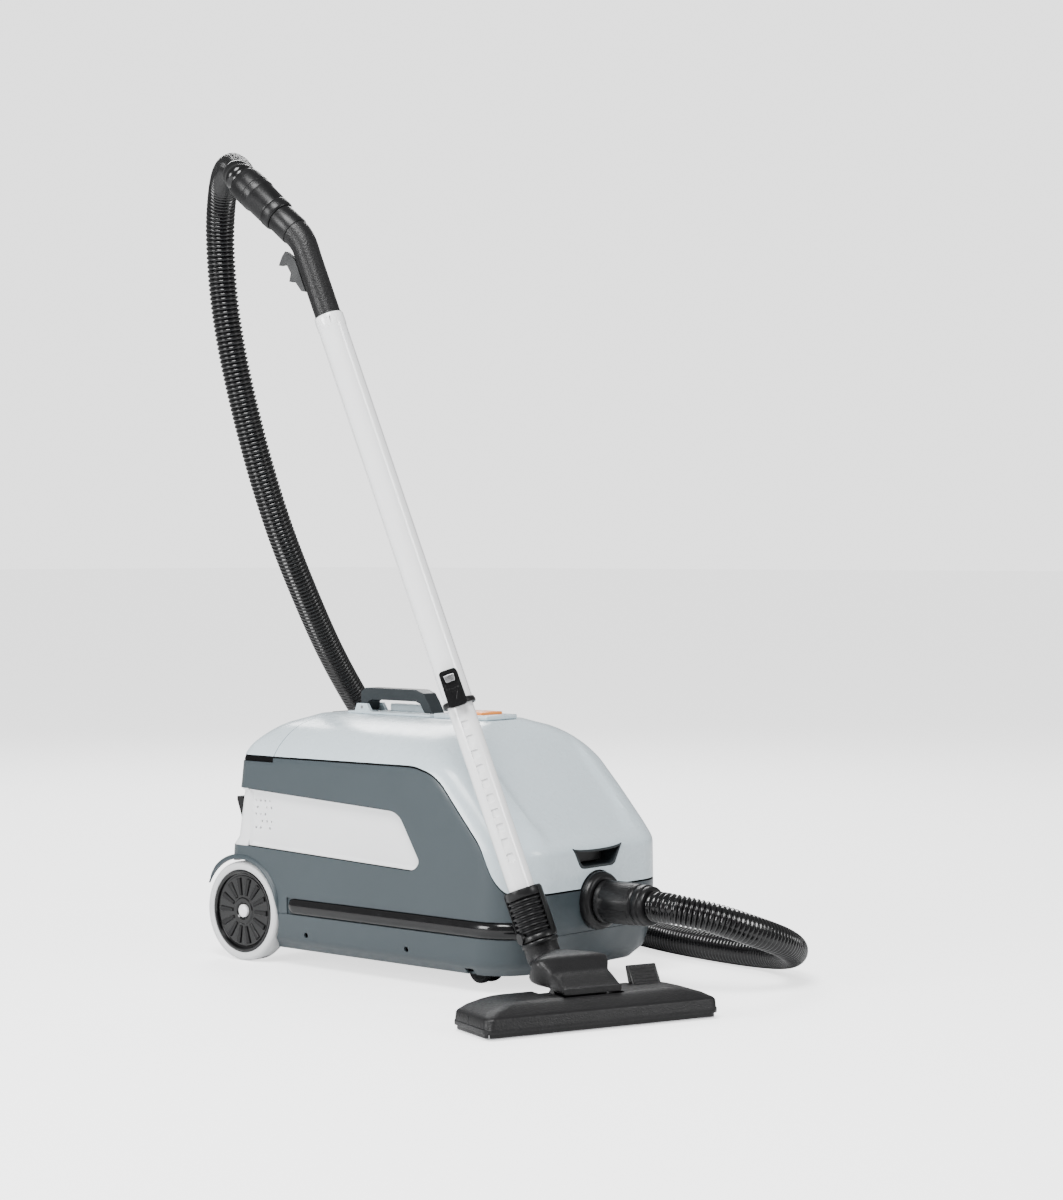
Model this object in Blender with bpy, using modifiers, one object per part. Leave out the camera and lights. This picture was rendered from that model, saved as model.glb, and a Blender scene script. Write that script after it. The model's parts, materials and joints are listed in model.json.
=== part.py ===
"""Battery canister vacuum cleaner with hose, bent handle, telescopic wand and floor head.

Metres, +Z up, -Y is the hose end. The machine stands on z = 0 and MACHINE is where its
middle plane meets the floor. Shapes are drawn in the machine's own axes and then moved
there, so every length below is read from the middle of the machine.
"""

import math

import bmesh
import bpy
from mathutils import Matrix, Vector

GAP = 0.0003
MACHINE = Vector((0.1062, 0.1649, 0.0))

# Body
HALF_WIDTH = 0.155
BASE_Z = 0.022
SEAM_Z = 0.0706
WALL = 0.0035
SHELL = 0.003
# Height, half width, front, rear, front corner radius, rear corner radius
SECTIONS = (
    (0.022, 0.136, -0.286, 0.180, 0.052, 0.020),
    (0.036, 0.150, -0.301, 0.190, 0.060, 0.022),
    (0.075, 0.155, -0.316, 0.198, 0.066, 0.022),
    (0.120, 0.155, -0.317, 0.197, 0.066, 0.022),
    (0.175, 0.155, -0.316, 0.192, 0.066, 0.022),
    (0.194, 0.155, -0.301, 0.189, 0.066, 0.022),
    (0.236, 0.155, -0.263, 0.180, 0.066, 0.022),
    (0.273, 0.155, -0.227, 0.175, 0.066, 0.022),
    (0.289, 0.143, -0.212, 0.172, 0.060, 0.024),
    (0.304, 0.125, -0.197, 0.165, 0.056, 0.034),
    (0.314, 0.107, -0.183, 0.156, 0.052, 0.036),
    (0.321, 0.084, -0.172, 0.144, 0.046, 0.036),
    (0.326, 0.050, -0.160, 0.128, 0.036, 0.030),
)
TOP_Z = 0.326
CORNER_STEPS = 5
# The edge that the hood and the rear cap rest on, as (y, z) from front to rear
SPLIT = (
    (-0.40, 0.1225),
    (-0.290, 0.1225),
    (-0.2741, 0.1417),
    (-0.2578, 0.1806),
    (-0.1914, 0.2549),
    (-0.1745, 0.2663),
    (-0.1455, 0.2734),
    (0.1070, 0.2723),
    (0.1140, 0.2665),
    (0.30, 0.2665),
)
SEAM_Y = 0.1070
HOOD_HINGE = Vector((0, SEAM_Y, 0.3275))
BUMPER_Z = (0.0706, 0.0914)
BUMPER_REAR = 0.081
BUMPER_FRONT = 0.095

# Rear wheels
WHEEL_R = 0.066
WHEEL_Y = 0.1687
TYRE_X = (0.1240, 0.1545)
WELL_R = 0.0695
WELL_X = 0.1185

# Casters
CASTER_X = 0.070
CASTER_Y = -0.200
CASTER_TRAIL = 0.008
CASTER_R = 0.0175

# Hose inlet and latch
INLET = Vector((0, -0.317, 0.1076))
LATCH_Z = (0.1495, 0.1745)
LATCH_HALF = (0.033, 0.048)

# Carry handle
HANDLE_PIN = Vector((0, 0.0790, 0.3345))
HANDLE_HALF = 0.0118
PIN_R = 0.0020
PIN_HOLE_R = 0.0023

# Battery
BATTERY_Z = (0.1500, 0.2145)
BATTERY_HALF = 0.100
BAY_ROOM = 0.0015

# Floor head: middle, direction of its long side, direction to its back
HEAD = Vector((-0.2139, -0.4765, 0.0))
HEAD_X = Vector((0.9373, -0.3486, 0.0)).normalized()
HEAD_Y = Vector((0.3486, 0.9373, 0.0)).normalized()
HEAD_HALF = 0.153
HEAD_DEPTH = 0.043
NECK_HINGE = (0.0, 0.024, 0.031)

# Wand: top of the neck socket, direction, and how far along it things are
WAND = Vector((-0.1705, -0.3392, 0.1398))
WAND_DIR = Vector((-0.0811, 0.3550, 0.9312)).normalized()
LOWER_TUBE = (-0.040, 0.490)
UPPER_TUBE = (0.2344, 0.7459)
BEND = 0.8508
LOWER_R = 0.0160
UPPER_R = 0.0178
GRIP_DIR = Vector((-0.1690, 0.7297, 0.6626)).normalized()
GRIP_END = 0.116
CLIP_SIDE = Vector((-0.757, -0.653, 0.0))

HOSE_R = 0.0190
# Route of the hose from the inlet cuff to the handle cuff
HOSE_ROUTE = (
    (0.000, -0.4053, 0.1076),
    (0.006, -0.440, 0.105),
    (0.032, -0.478, 0.095),
    (0.075, -0.502, 0.078),
    (0.126, -0.507, 0.060),
    (0.174, -0.491, 0.043),
    (0.210, -0.458, 0.030),
    (0.232, -0.415, 0.0225),
    (0.242, -0.362, 0.0200),
    (0.250, -0.300, 0.0200),
    (0.264, -0.235, 0.0200),
    (0.287, -0.165, 0.0200),
    (0.317, -0.095, 0.0200),
    (0.348, -0.025, 0.0210),
    (0.376, 0.045, 0.0260),
    (0.396, 0.110, 0.0390),
    (0.403, 0.170, 0.0620),
    (0.393, 0.222, 0.0980),
    (0.364, 0.260, 0.1430),
    (0.320, 0.280, 0.1900),
    (0.268, 0.285, 0.2390),
    (0.215, 0.284, 0.2890),
    (0.164, 0.279, 0.3430),
    (0.101, 0.264, 0.4100),
    (0.036, 0.246, 0.4890),
    (-0.017, 0.234, 0.5660),
    (-0.060, 0.227, 0.6480),
    (-0.093, 0.223, 0.7280),
    (-0.117, 0.221, 0.8000),
    (-0.134, 0.219, 0.8660),
    (-0.146, 0.214, 0.9250),
    (-0.158, 0.203, 0.9740),
    (-0.176, 0.179, 1.0130),
    (-0.201, 0.144, 1.0330),
    (-0.226, 0.105, 1.0360),
    (-0.246, 0.071, 1.0240),
)
HOSE_SPACING = 0.050
HOSE_LEAD = 0.012


def empty_scene():
    for obj in list(bpy.data.objects):
        bpy.data.objects.remove(obj, do_unlink=True)


empty_scene()
PARTS = bpy.data.collections.new("canister_vacuum")
CUTTERS = bpy.data.collections.new("cutters")
for made in (PARTS, CUTTERS):
    bpy.context.scene.collection.children.link(made)
CUTTERS.hide_render = True
BASE = bpy.data.objects.new("machine_origin", None)
BASE.location = MACHINE
PARTS.objects.link(BASE)


# ---------------------------------------------------------------- materials
def material(name, colour, roughness, metallic=0.0):
    mat = bpy.data.materials.new(name)
    mat.use_nodes = True
    mat.diffuse_color = (*colour, 1.0)
    shader = mat.node_tree.nodes["Principled BSDF"]
    shader.inputs["Base Color"].default_value = (*colour, 1.0)
    shader.inputs["Roughness"].default_value = roughness
    shader.inputs["Metallic"].default_value = metallic
    return mat


SLATE = ((0.115, 0.145, 0.155), 0.42)
PALE = ((0.60, 0.66, 0.69), 0.30)
WHITE = ((0.86, 0.86, 0.87), 0.18)
PANEL = ((0.78, 0.79, 0.80), 0.35)
BLACK = ((0.012, 0.012, 0.013), 0.45)
GRAPHITE = ((0.030, 0.031, 0.033), 0.55)
ORANGE = ((0.85, 0.27, 0.05), 0.35)
TYRE = ((0.62, 0.62, 0.62), 0.60)
STEEL = ((0.55, 0.55, 0.56), 0.28, 1.0)
PAPER = ((0.72, 0.66, 0.52), 0.85)
FOAM = ((0.10, 0.11, 0.14), 0.95)
BOARD = ((0.03, 0.18, 0.09), 0.45)


# ---------------------------------------------------------------- mesh helpers
def face_out(bm):
    bmesh.ops.recalc_face_normals(bm, faces=bm.faces)
    if bm.calc_volume(signed=True) < 0:
        bmesh.ops.reverse_faces(bm, faces=bm.faces)


def obj_from(name, bm, collection=PARTS):
    face_out(bm)
    mesh = bpy.data.meshes.new(name)
    bm.to_mesh(mesh)
    bm.free()
    obj = bpy.data.objects.new(name, mesh)
    collection.objects.link(obj)
    obj.parent = BASE
    if collection is CUTTERS:
        obj.hide_render = True
        obj.display_type = "WIRE"
    return obj


def through(name, centre, reach, radius, sides, axis=Vector((1, 0, 0))):
    """A round cutter through a point, reaching the same way to both sides of it."""
    return rod(name, centre - axis * reach, centre + axis * reach, radius, sides, CUTTERS)


def baked(obj):
    """Turns an object's modifiers and curve settings into plain mesh, in the machine's axes."""
    bpy.context.view_layer.update()
    view = obj.evaluated_get(bpy.context.evaluated_depsgraph_get())
    mesh = bpy.data.meshes.new_from_object(view)
    mesh.transform(BASE.matrix_world.inverted() @ obj.matrix_world)
    bm = bmesh.new()
    bm.from_mesh(mesh)
    bmesh.ops.remove_doubles(bm, verts=bm.verts, dist=0.000001)
    bm.to_mesh(mesh)
    bm.free()
    name = obj.name
    collection = obj.users_collection[0]
    bpy.data.objects.remove(obj, do_unlink=True)
    made = bpy.data.objects.new(name, mesh)
    collection.objects.link(made)
    made.parent = BASE
    return made


def cut(obj, other, operation="DIFFERENCE"):
    """Cuts, joins or intersects two meshes and removes the second."""
    mod = obj.modifiers.new(operation.lower(), "BOOLEAN")
    mod.operation = operation
    mod.solver = "EXACT"
    mod.object = other
    name = obj.name
    made = baked(obj)
    made.name = name
    bpy.data.objects.remove(other, do_unlink=True)
    return made


def finish(obj, look, pivot=None, angle=35):
    """Gives the object its material and smooth shading, and puts its origin on its pivot."""
    if pivot is not None:
        obj.data.transform(Matrix.Translation(-Vector(pivot)))
        obj.location = Vector(pivot)
    obj.data.materials.clear()
    obj.data.materials.append(material(obj.name, *look))
    obj.data.shade_smooth()
    obj.data.set_sharp_from_angle(angle=math.radians(angle))
    return obj


def to_parts(obj, name):
    """Names a shell that was drawn among the cutters, and puts it with the parts."""
    obj.name = name
    PARTS.objects.link(obj)
    CUTTERS.objects.unlink(obj)
    return obj


def axes_to(direction, hint=Vector((0, 0, 1))):
    """A turn that takes +Z to the direction and keeps +Y near the hint."""
    z = Vector(direction).normalized()
    y = Vector(hint) - Vector(hint).dot(z) * z
    if y.length < 0.01:
        y = Vector((0, 1, 0)) - z.y * z
    y.normalize()
    return Matrix((y.cross(z), y, z)).transposed().to_4x4()


def box(name, low, high, bevel=0.0, collection=PARTS):
    bm = bmesh.new()
    bmesh.ops.create_cube(bm, size=1.0)
    size = [b - a for a, b in zip(low, high)]
    middle = [(a + b) / 2 for a, b in zip(low, high)]
    bmesh.ops.scale(bm, vec=size, verts=bm.verts)
    bmesh.ops.translate(bm, vec=middle, verts=bm.verts)
    if bevel:
        bmesh.ops.bevel(
            bm, geom=bm.edges[:], offset=bevel, segments=2, profile=0.5, affect="EDGES"
        )
    return obj_from(name, bm, collection)


def rod(name, start, end, radius, sides=16, collection=PARTS):
    start = Vector(start)
    end = Vector(end)
    bm = bmesh.new()
    bmesh.ops.create_cone(
        bm,
        cap_ends=True,
        segments=sides,
        radius1=radius,
        radius2=radius,
        depth=(end - start).length,
    )
    turn = axes_to(end - start)
    turn.translation = (start + end) / 2
    bm.transform(turn)
    return obj_from(name, bm, collection)


def turned(name, profile, origin, direction, sides=20, collection=PARTS):
    """A profile of (radius, distance along) points, closed into a loop, turned about an axis."""
    mesh = bpy.data.meshes.new(name)
    points = [(r, 0.0, z) for r, z in profile]
    edges = [(i, (i + 1) % len(points)) for i in range(len(points))]
    solid = profile[0][0] == 0 and profile[-1][0] == 0
    mesh.from_pydata(points, edges[:-1] if solid else edges, [])
    obj = bpy.data.objects.new(name, mesh)
    collection.objects.link(obj)
    screw = obj.modifiers.new("turn", "SCREW")
    screw.steps = sides
    screw.render_steps = sides
    screw.use_merge_vertices = True
    screw.merge_threshold = 0.00001
    obj.parent = BASE
    turn = axes_to(direction)
    turn.translation = Vector(origin)
    obj.matrix_local = turn
    made = baked(obj)
    bm = bmesh.new()
    bm.from_mesh(made.data)
    face_out(bm)
    bm.to_mesh(made.data)
    bm.free()
    made.name = name
    return made


def prism(name, outline, axis, low, high, collection=PARTS):
    """A flat outline pushed along X, Y or Z. The outline is in the other two axes, in order."""
    spot = {"X": 0, "Y": 1, "Z": 2}[axis]
    bm = bmesh.new()
    ends = []
    for depth in (low, high):
        ring = []
        for a, b in outline:
            point = [a, b]
            point.insert(spot, depth)
            ring.append(bm.verts.new(point))
        ends.append(ring)
    bm.faces.new(ends[0])
    bm.faces.new(ends[1])
    for i in range(len(outline)):
        j = (i + 1) % len(outline)
        bm.faces.new((ends[0][i], ends[0][j], ends[1][j], ends[1][i]))
    return obj_from(name, bm, collection)


def loft(name, rings, collection=PARTS):
    """Skins rings of equal count and closes both ends."""
    bm = bmesh.new()
    made = [[bm.verts.new(p) for p in ring] for ring in rings]
    count = len(made[0])
    for lower, upper in zip(made, made[1:]):
        for i in range(count):
            j = (i + 1) % count
            bm.faces.new((lower[i], lower[j], upper[j], upper[i]))
    bm.faces.new(made[0])
    bm.faces.new(made[-1])
    return obj_from(name, bm, collection)


def tube_along(name, points, radii, sides=20):
    """A solid round bar through points, with its own radius at each."""
    rings = []
    for i, point in enumerate(points):
        ahead = points[min(i + 1, len(points) - 1)]
        behind = points[max(i - 1, 0)]
        turn = axes_to(ahead - behind, hint=Vector((1, 0, 0)))
        ring = []
        for k in range(sides):
            a = 2 * math.pi * k / sides
            offset = Vector((math.cos(a), math.sin(a), 0)) * radii[i]
            ring.append(point + turn.to_3x3() @ offset)
        rings.append(ring)
    return loft(name, rings)


# ---------------------------------------------------------------- body outline
def section(z):
    """The body's plan at a height: half width, front, rear and the two corner radii."""
    for low, high in zip(SECTIONS, SECTIONS[1:]):
        if z <= high[0]:
            t = max(0.0, (z - low[0]) / (high[0] - low[0]))
            return [a + (b - a) * t for a, b in zip(low[1:], high[1:])]
    return list(SECTIONS[-1][1:])


def outline(z, inset=0.0):
    half, front, rear, front_r, rear_r = section(z)
    half -= inset
    front += inset
    rear -= inset
    front_r = max(front_r - inset, 0.004)
    rear_r = max(rear_r - inset, 0.004)
    corners = (
        (half - rear_r, rear - rear_r, rear_r, 0),
        (-half + rear_r, rear - rear_r, rear_r, 90),
        (-half + front_r, front + front_r, front_r, 180),
        (half - front_r, front + front_r, front_r, 270),
    )
    points = []
    for x, y, radius, start in corners:
        for k in range(CORNER_STEPS + 1):
            a = math.radians(start + 90 * k / CORNER_STEPS)
            points.append((x + radius * math.cos(a), y + radius * math.sin(a)))
    return points


def body_block(name, low, high, inset=0.0, drop=0.0):
    """The body's outer form between two heights, set in by inset and lowered by drop."""
    heights = [low] + [s[0] for s in SECTIONS if low < s[0] < high] + [high]
    rings = [[Vector((x, y, z - drop)) for x, y in outline(z, inset)] for z in heights]
    return loft(name, rings, CUTTERS)


def split_z(y):
    """Height of the split edge at a place along the machine."""
    for (y0, z0), (y1, z1) in zip(SPLIT, SPLIT[1:]):
        if y <= y1:
            return z0 + (z1 - z0) * max(0.0, y - y0) / (y1 - y0)
    return SPLIT[-1][1]


def above_split(gap, low_y=-0.5, high_y=0.5):
    """A wide block over the split edge, between two y planes."""
    line = [(low_y, split_z(low_y))]
    line += [p for p in SPLIT if low_y < p[0] < high_y]
    line.append((high_y, split_z(high_y)))
    shape = [(y, z + gap) for y, z in line] + [(high_y, 0.5), (low_y, 0.5)]
    return prism("above", shape, "X", -0.3, 0.3, CUTTERS)


# ---------------------------------------------------------------- body shells
def wells(low, high):
    """The two wheel wells' walls, as solid drums between two heights."""
    drums = []
    for side in (-1, 1):
        drum = rod(
            "drum",
            (side * (WELL_X - 0.0035), WHEEL_Y, WHEEL_R),
            (side * 0.170, WHEEL_Y, WHEEL_R),
            WELL_R + 0.0035,
            24,
            CUTTERS,
        )
        form = body_block("form", low, high)
        drums.append(cut(drum, form, "INTERSECT"))
    return drums


def cut_wells(obj):
    for side in (-1, 1):
        hole = rod(
            "hole",
            (side * WELL_X, WHEEL_Y, WHEEL_R),
            (side * 0.180, WHEEL_Y, WHEEL_R),
            WELL_R,
            24,
            CUTTERS,
        )
        obj = cut(obj, hole)
    return obj


def chassis():
    top = SEAM_Z - GAP
    obj = body_block("chassis", BASE_Z, top)
    cavity = body_block("cavity", BASE_Z + SHELL, 0.12, SHELL)
    obj = cut(obj, cavity)
    for drum in wells(BASE_Z, top):
        obj = cut(obj, drum, "UNION")
    obj = cut_wells(obj)
    for side in (-1, 1):
        x = side * CASTER_X
        cup = rod("cup", (x, CASTER_Y, BASE_Z + 0.001), (x, CASTER_Y, 0.0525), 0.0345, 28, CUTTERS)
        obj = cut(obj, cup, "UNION")
        room = rod("room", (x, CASTER_Y, 0.0), (x, CASTER_Y, 0.0490), 0.0315, 28, CUTTERS)
        obj = cut(obj, room)
        bore = rod("bore", (x, CASTER_Y, 0.040), (x, CASTER_Y, 0.060), 0.0043, 16, CUTTERS)
        obj = cut(obj, bore)
        axle = through("axle", Vector((side * 0.1125, WHEEL_Y, WHEEL_R)), 0.0125, 0.0043, 16)
        obj = cut(obj, axle)
    return finish(to_parts(obj, "chassis"), SLATE)


def housing():
    obj = body_block("housing", SEAM_Z, TOP_Z)
    obj = cut(obj, body_block("cavity", 0.050, TOP_Z + 0.001, WALL))
    for drum in wells(SEAM_Z, TOP_Z):
        obj = cut(obj, drum, "UNION")
    obj = cut_wells(obj)
    obj = cut(obj, above_split(0.0))
    for side in (-1, 1):
        ring = body_block("ring", BUMPER_Z[0] - 0.01, BUMPER_Z[1] + GAP, -0.010)
        ring = cut(ring, body_block("core", 0.05, 0.12, 0.0020))
        obj = cut(obj, cut(ring, bumper_trim(side, 0.0), "INTERSECT"))
    obj = cut(obj, through("inlet", INLET, 0.02, 0.0271, 28, Vector((0, 1, 0))))
    for side in (-1, 1):
        low_x, high_x = sorted((side * 0.12, side * 0.17))
        obj = cut(obj, prism("window", strip_outline(0.0), "X", low_x, high_x, CUTTERS))
    low, high = BATTERY_Z
    half = BATTERY_HALF + BAY_ROOM
    corners = (-half, 0.170, low - BAY_ROOM), (half, 0.21, high + BAY_ROOM)
    obj = cut(obj, box("bay", *corners, collection=CUTTERS))
    return finish(to_parts(obj, "housing"), SLATE)


def bumper_trim(side, gap):
    """The space that a bumper strip fills: from ahead of the wheel to the front corner."""
    low, high = sorted((side * (BUMPER_FRONT + gap), side * 0.3))
    return box("trim", (low, -0.5, 0.0), (high, BUMPER_REAR - gap, 0.2), collection=CUTTERS)


def bumper(side, name):
    low, high = BUMPER_Z
    obj = body_block(name, low + GAP, high, -0.0020)
    obj = cut(obj, body_block("core", 0.05, 0.12, 0.0017))
    obj = cut(obj, bumper_trim(side, GAP), "INTERSECT")
    return finish(to_parts(obj, name), BLACK)


def hood():
    gap_y = SEAM_Y - 0.0005
    obj = body_block("hood", 0.10, TOP_Z)
    obj = cut(obj, body_block("cavity", 0.09, TOP_Z, SHELL, SHELL))
    obj = cut(obj, above_split(GAP, -0.5, gap_y), "INTERSECT")
    obj = cut(obj, through("notch", INLET, 0.03, 0.0374, 32, Vector((0, 1, 0))))
    obj = cut(obj, latch_block("opening", 0.0, -0.34, -0.28))
    return finish(to_parts(obj, "hood"), PALE, HOOD_HINGE)


def rear_cap():
    obj = body_block("rear_cap", 0.20, TOP_Z)
    obj = cut(obj, body_block("cavity", 0.19, TOP_Z, SHELL, SHELL))
    obj = cut(obj, above_split(GAP, SEAM_Y + 0.0005, 0.5), "INTERSECT")
    pocket = release_block("pocket", GAP, 0.004)
    obj = cut(obj, pocket)
    return finish(to_parts(obj, "rear_cap"), PALE, HOOD_HINGE)


RELEASE_AT = Vector((0, 0.1490, 0.3155))
RELEASE_TILT = math.radians(-26)


def release_block(name, grow, down):
    """The small button on the rear cap, square to the cap's slope there."""
    obj = box(
        name,
        (-0.015 - grow, -0.0165 - grow, -0.0015 - down),
        (0.015 + grow, 0.0165 + grow, 0.0045 + down),
        0.0 if down else 0.0012,
        CUTTERS if down else PARTS,
    )
    obj.data.transform(Matrix.Translation(RELEASE_AT) @ Matrix.Rotation(RELEASE_TILT, 4, "X"))
    return obj


def latch_block(name, inset, low_y, high_y, collection=CUTTERS):
    low, high = LATCH_Z
    bottom, top = LATCH_HALF
    shape = (
        (-bottom + inset, low + inset),
        (bottom - inset, low + inset),
        (top - inset * 1.4, high - inset),
        (-top + inset * 1.4, high - inset),
    )
    return prism(name, shape, "Y", low_y, high_y, collection)


def latch():
    frame = latch_block("latch_frame", GAP, -0.3150, -0.2905, PARTS)
    frame = cut(frame, latch_block("inside", 0.0030, -0.33, -0.2925))
    finish(frame, GRAPHITE)
    lever = box("hood_latch", (-0.0275, -0.2995, 0.1545), (0.0275, -0.2965, 0.1705), 0.0008)
    return finish(lever, BLACK, (0, -0.2980, 0.1695))


def strip_outline(grow):
    """The long side panel: blunt at the rear, a slanted round nose at the front."""
    points = [
        (0.1545 + grow, 0.1540 - grow),
        (0.1545 + grow, 0.2305 + grow),
        (-0.0900, 0.2190 + grow),
        (-0.1130, 0.2160 + grow),
        (-0.1300 - grow, 0.2040),
        (-0.1540 - grow, 0.1620),
        (-0.1530 - grow, 0.1500),
        (-0.1400, 0.1440 - grow),
    ]
    return points


def side_strip(side, name):
    reach = HALF_WIDTH - WALL - GAP
    low, high = sorted((side * (reach - 0.0085), side * reach))
    obj = prism(name, strip_outline(0.0045), "X", low, high)
    near = [Vector((side * (reach - 0.0055), y, z)) for y, z in strip_outline(-0.0045)]
    far = [Vector((side * (reach + 0.002), y, z)) for y, z in strip_outline(0.0005)]
    dish = loft("dish", (near, far), CUTTERS)
    obj = cut(obj, dish)
    obj.name = name
    return finish(obj, PANEL)


# ---------------------------------------------------------------- on the hood
def carry_handle():
    low = 0.3305
    shape = (
        (0.0743, 0.3345), (0.0757, 0.3312), (0.0790, 0.3298), (0.0823, 0.3312), (0.0837, 0.3345),
        (0.0860, 0.3450), (0.0855, 0.3550), (0.0770, 0.3605),
        (-0.0160, 0.3605), (-0.0290, 0.3560), (-0.0370, 0.3450), (-0.0450, low), (-0.0310, low),
        (-0.0230, 0.3420), (-0.0150, 0.3450), (0.0650, 0.3450), (0.0730, 0.3420),
    )
    arch = prism("carry_handle", shape, "X", -HANDLE_HALF, HANDLE_HALF)
    arch = cut(arch, through("hole", HANDLE_PIN, 0.03, PIN_HOLE_R, 12))
    arch.name = "carry_handle"
    finish(arch, SLATE, HANDLE_PIN)
    bracket = box("handle_bracket", (-0.024, -0.0520, 0.3263), (0.024, 0.0980, 0.3295), 0.0006)
    for side in (-1, 1):
        x0, x1 = sorted((side * 0.0123, side * 0.0175))
        shape = ((0.062, 0.3280), (0.0930, 0.3280), (0.0880, 0.3395), (0.0700, 0.3395))
        bracket = cut(bracket, prism("ear", shape, "X", x0, x1, CUTTERS), "UNION")
    bracket = cut(bracket, through("hole", HANDLE_PIN, 0.03, PIN_HOLE_R, 12))
    bracket.name = "handle_bracket"
    finish(bracket, PALE)
    end = Vector((0.0175, 0, 0))
    pin = rod("handle_pin", HANDLE_PIN - end, HANDLE_PIN + end, PIN_R, 12)
    return finish(pin, STEEL, HANDLE_PIN)


def power_button():
    plate = box("button_plate", (-0.030, -0.1570, 0.3263), (0.030, -0.0640, 0.3325), 0.0012)
    pocket = box("pocket", (-0.0213, -0.1403, 0.3290), (0.0213, -0.0953, 0.34), collection=CUTTERS)
    plate = cut(plate, pocket)
    plate.name = "button_plate"
    finish(plate, PALE)
    button = box("power_button", (-0.0208, -0.1397, 0.3312), (0.0208, -0.0960, 0.3360), 0.0012)
    finish(button, ORANGE)
    release = release_block("filter_release", 0.0, 0.0)
    finish(release, GRAPHITE)


# ---------------------------------------------------------------- wheels
def wheels():
    for side, name in ((-1, "left"), (1, "right")):
        centre = Vector((0, WHEEL_Y, WHEEL_R))
        out = Vector((side, 0, 0))
        inner, outer = TYRE_X
        tread = (
            (0.0549, inner + 0.001),
            (0.0635, inner),
            (WHEEL_R, inner + 0.004),
            (WHEEL_R, outer - 0.005),
            (0.0640, outer - 0.001),
            (0.0600, outer),
            (0.0549, outer - 0.001),
        )
        finish(turned("tyre_" + name, tread, centre, out, 24), TYRE, centre)
        disc = (
            (0.0043, 0.1270), (0.0546, 0.1260), (0.0546, 0.1520), (0.0510, 0.1530), (0.0480, 0.1500),
            (0.0100, 0.1500), (0.0090, 0.1480), (0.0043, 0.1480),
        )
        finish(turned("wheel_disc_" + name, disc, centre, out, 24), BLACK, centre)
        cap = ((0.0, 0.1535), (0.0060, 0.1530), (0.0086, 0.1510), (0.0086, 0.1484), (0.0, 0.1484))
        finish(turned("wheel_cap_" + name, cap, centre, out, 20), WHITE, centre)
        axle = rod("axle_" + name, centre + out * 0.1000, centre + out * 0.1478, 0.0040, 16)
        finish(axle, STEEL, centre)


def casters():
    for side, name in ((-1, "left"), (1, "right")):
        pivot = Vector((side * CASTER_X, CASTER_Y, 0.0))
        axle = pivot + Vector((0, CASTER_TRAIL, CASTER_R))
        foot, top = pivot + Vector((0, 0, 0.0415)), pivot + Vector((0, 0, 0.0487))
        plate = rod("caster_fork_" + name, foot, top, 0.0240, 24)
        web = box(
            "web",
            (pivot.x - 0.0040, axle.y - 0.0090, 0.0120),
            (pivot.x + 0.0040, axle.y + 0.0090, 0.0430),
            collection=CUTTERS,
        )
        plate = cut(plate, web, "UNION")
        middle = pivot + Vector((0, 0, 0.0525))
        plate = cut(plate, through("stem", middle, 0.0075, 0.0040, 16, Vector((0, 0, 1))), "UNION")
        plate = cut(plate, through("hole", axle, 0.02, PIN_HOLE_R, 12))
        plate.name = "caster_fork_" + name
        finish(plate, BLACK, pivot)
        spool = (
            (0.0, -0.0150), (0.0150, -0.0150), (CASTER_R, -0.0130), (CASTER_R, -0.0060), (0.0165, -0.0044),
            (0.0020, -0.0044), (0.0020, 0.0044), (0.0165, 0.0044), (CASTER_R, 0.0060), (CASTER_R, 0.0130),
            (0.0150, 0.0150), (0.0, 0.0150),
        )
        finish(turned("caster_wheels_" + name, spool, axle, (1, 0, 0), 24), GRAPHITE, axle)


# ---------------------------------------------------------------- inside
def dust_side():
    back = Vector((0, 1, 0))
    flange = (
        (0.0236, -0.0110), (0.0300, -0.0115), (0.0340, -0.0100), (0.0365, -0.0050), (0.0365, -GAP),
        (0.0268, -GAP), (0.0268, 0.0270), (0.0236, 0.0270),
    )
    finish(turned("inlet_flange", flange, INLET, back, 24), BLACK)
    seal = ((0.0272, 0.0060), (0.0330, 0.0060), (0.0330, 0.0100), (0.0272, 0.0100))
    finish(turned("inlet_seal", seal, INLET, back, 24), GRAPHITE)
    for name, half, low, high, y, look in (
        ("bag_collar", 0.050, 0.062, 0.153, -0.2894, PAPER),
        ("bag_holder", 0.058, 0.050, 0.165, -0.2858, GRAPHITE),
    ):
        plate = box(name, (-half, y, low), (half, y + 0.0030, high), 0.0004)
        hole = rod("hole", (0, y - 0.01, INLET.z), (0, y + 0.01, INLET.z), 0.0230, 24, CUTTERS)
        plate = cut(plate, hole)
        plate.name = name
        finish(plate, look)
    bag_rings = (
        (-0.2820, 0.045, 0.075, 0.150), (-0.2560, 0.088, 0.066, 0.172), (-0.2200, 0.112, 0.063, 0.196),
        (-0.1500, 0.120, 0.063, 0.230), (-0.0900, 0.118, 0.063, 0.236), (-0.0600, 0.090, 0.070, 0.205),
    )
    rings = []
    for y, half, low, high in bag_rings:
        middle = (low + high) / 2
        tall = (high - low) / 2
        ring = []
        for k in range(24):
            a = 2 * math.pi * k / 24
            c, s = math.cos(a), math.sin(a)
            x = half * math.copysign(abs(c) ** 0.6, c)
            z = middle + tall * math.copysign(abs(s) ** 0.6, s)
            ring.append(Vector((x, y, z)))
        rings.append(ring)
    finish(loft("dust_bag", rings), PAPER)
    finish(box("premotor_filter", (-0.050, -0.0555, 0.095), (0.050, -0.0455, 0.195), 0.001), FOAM)


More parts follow.
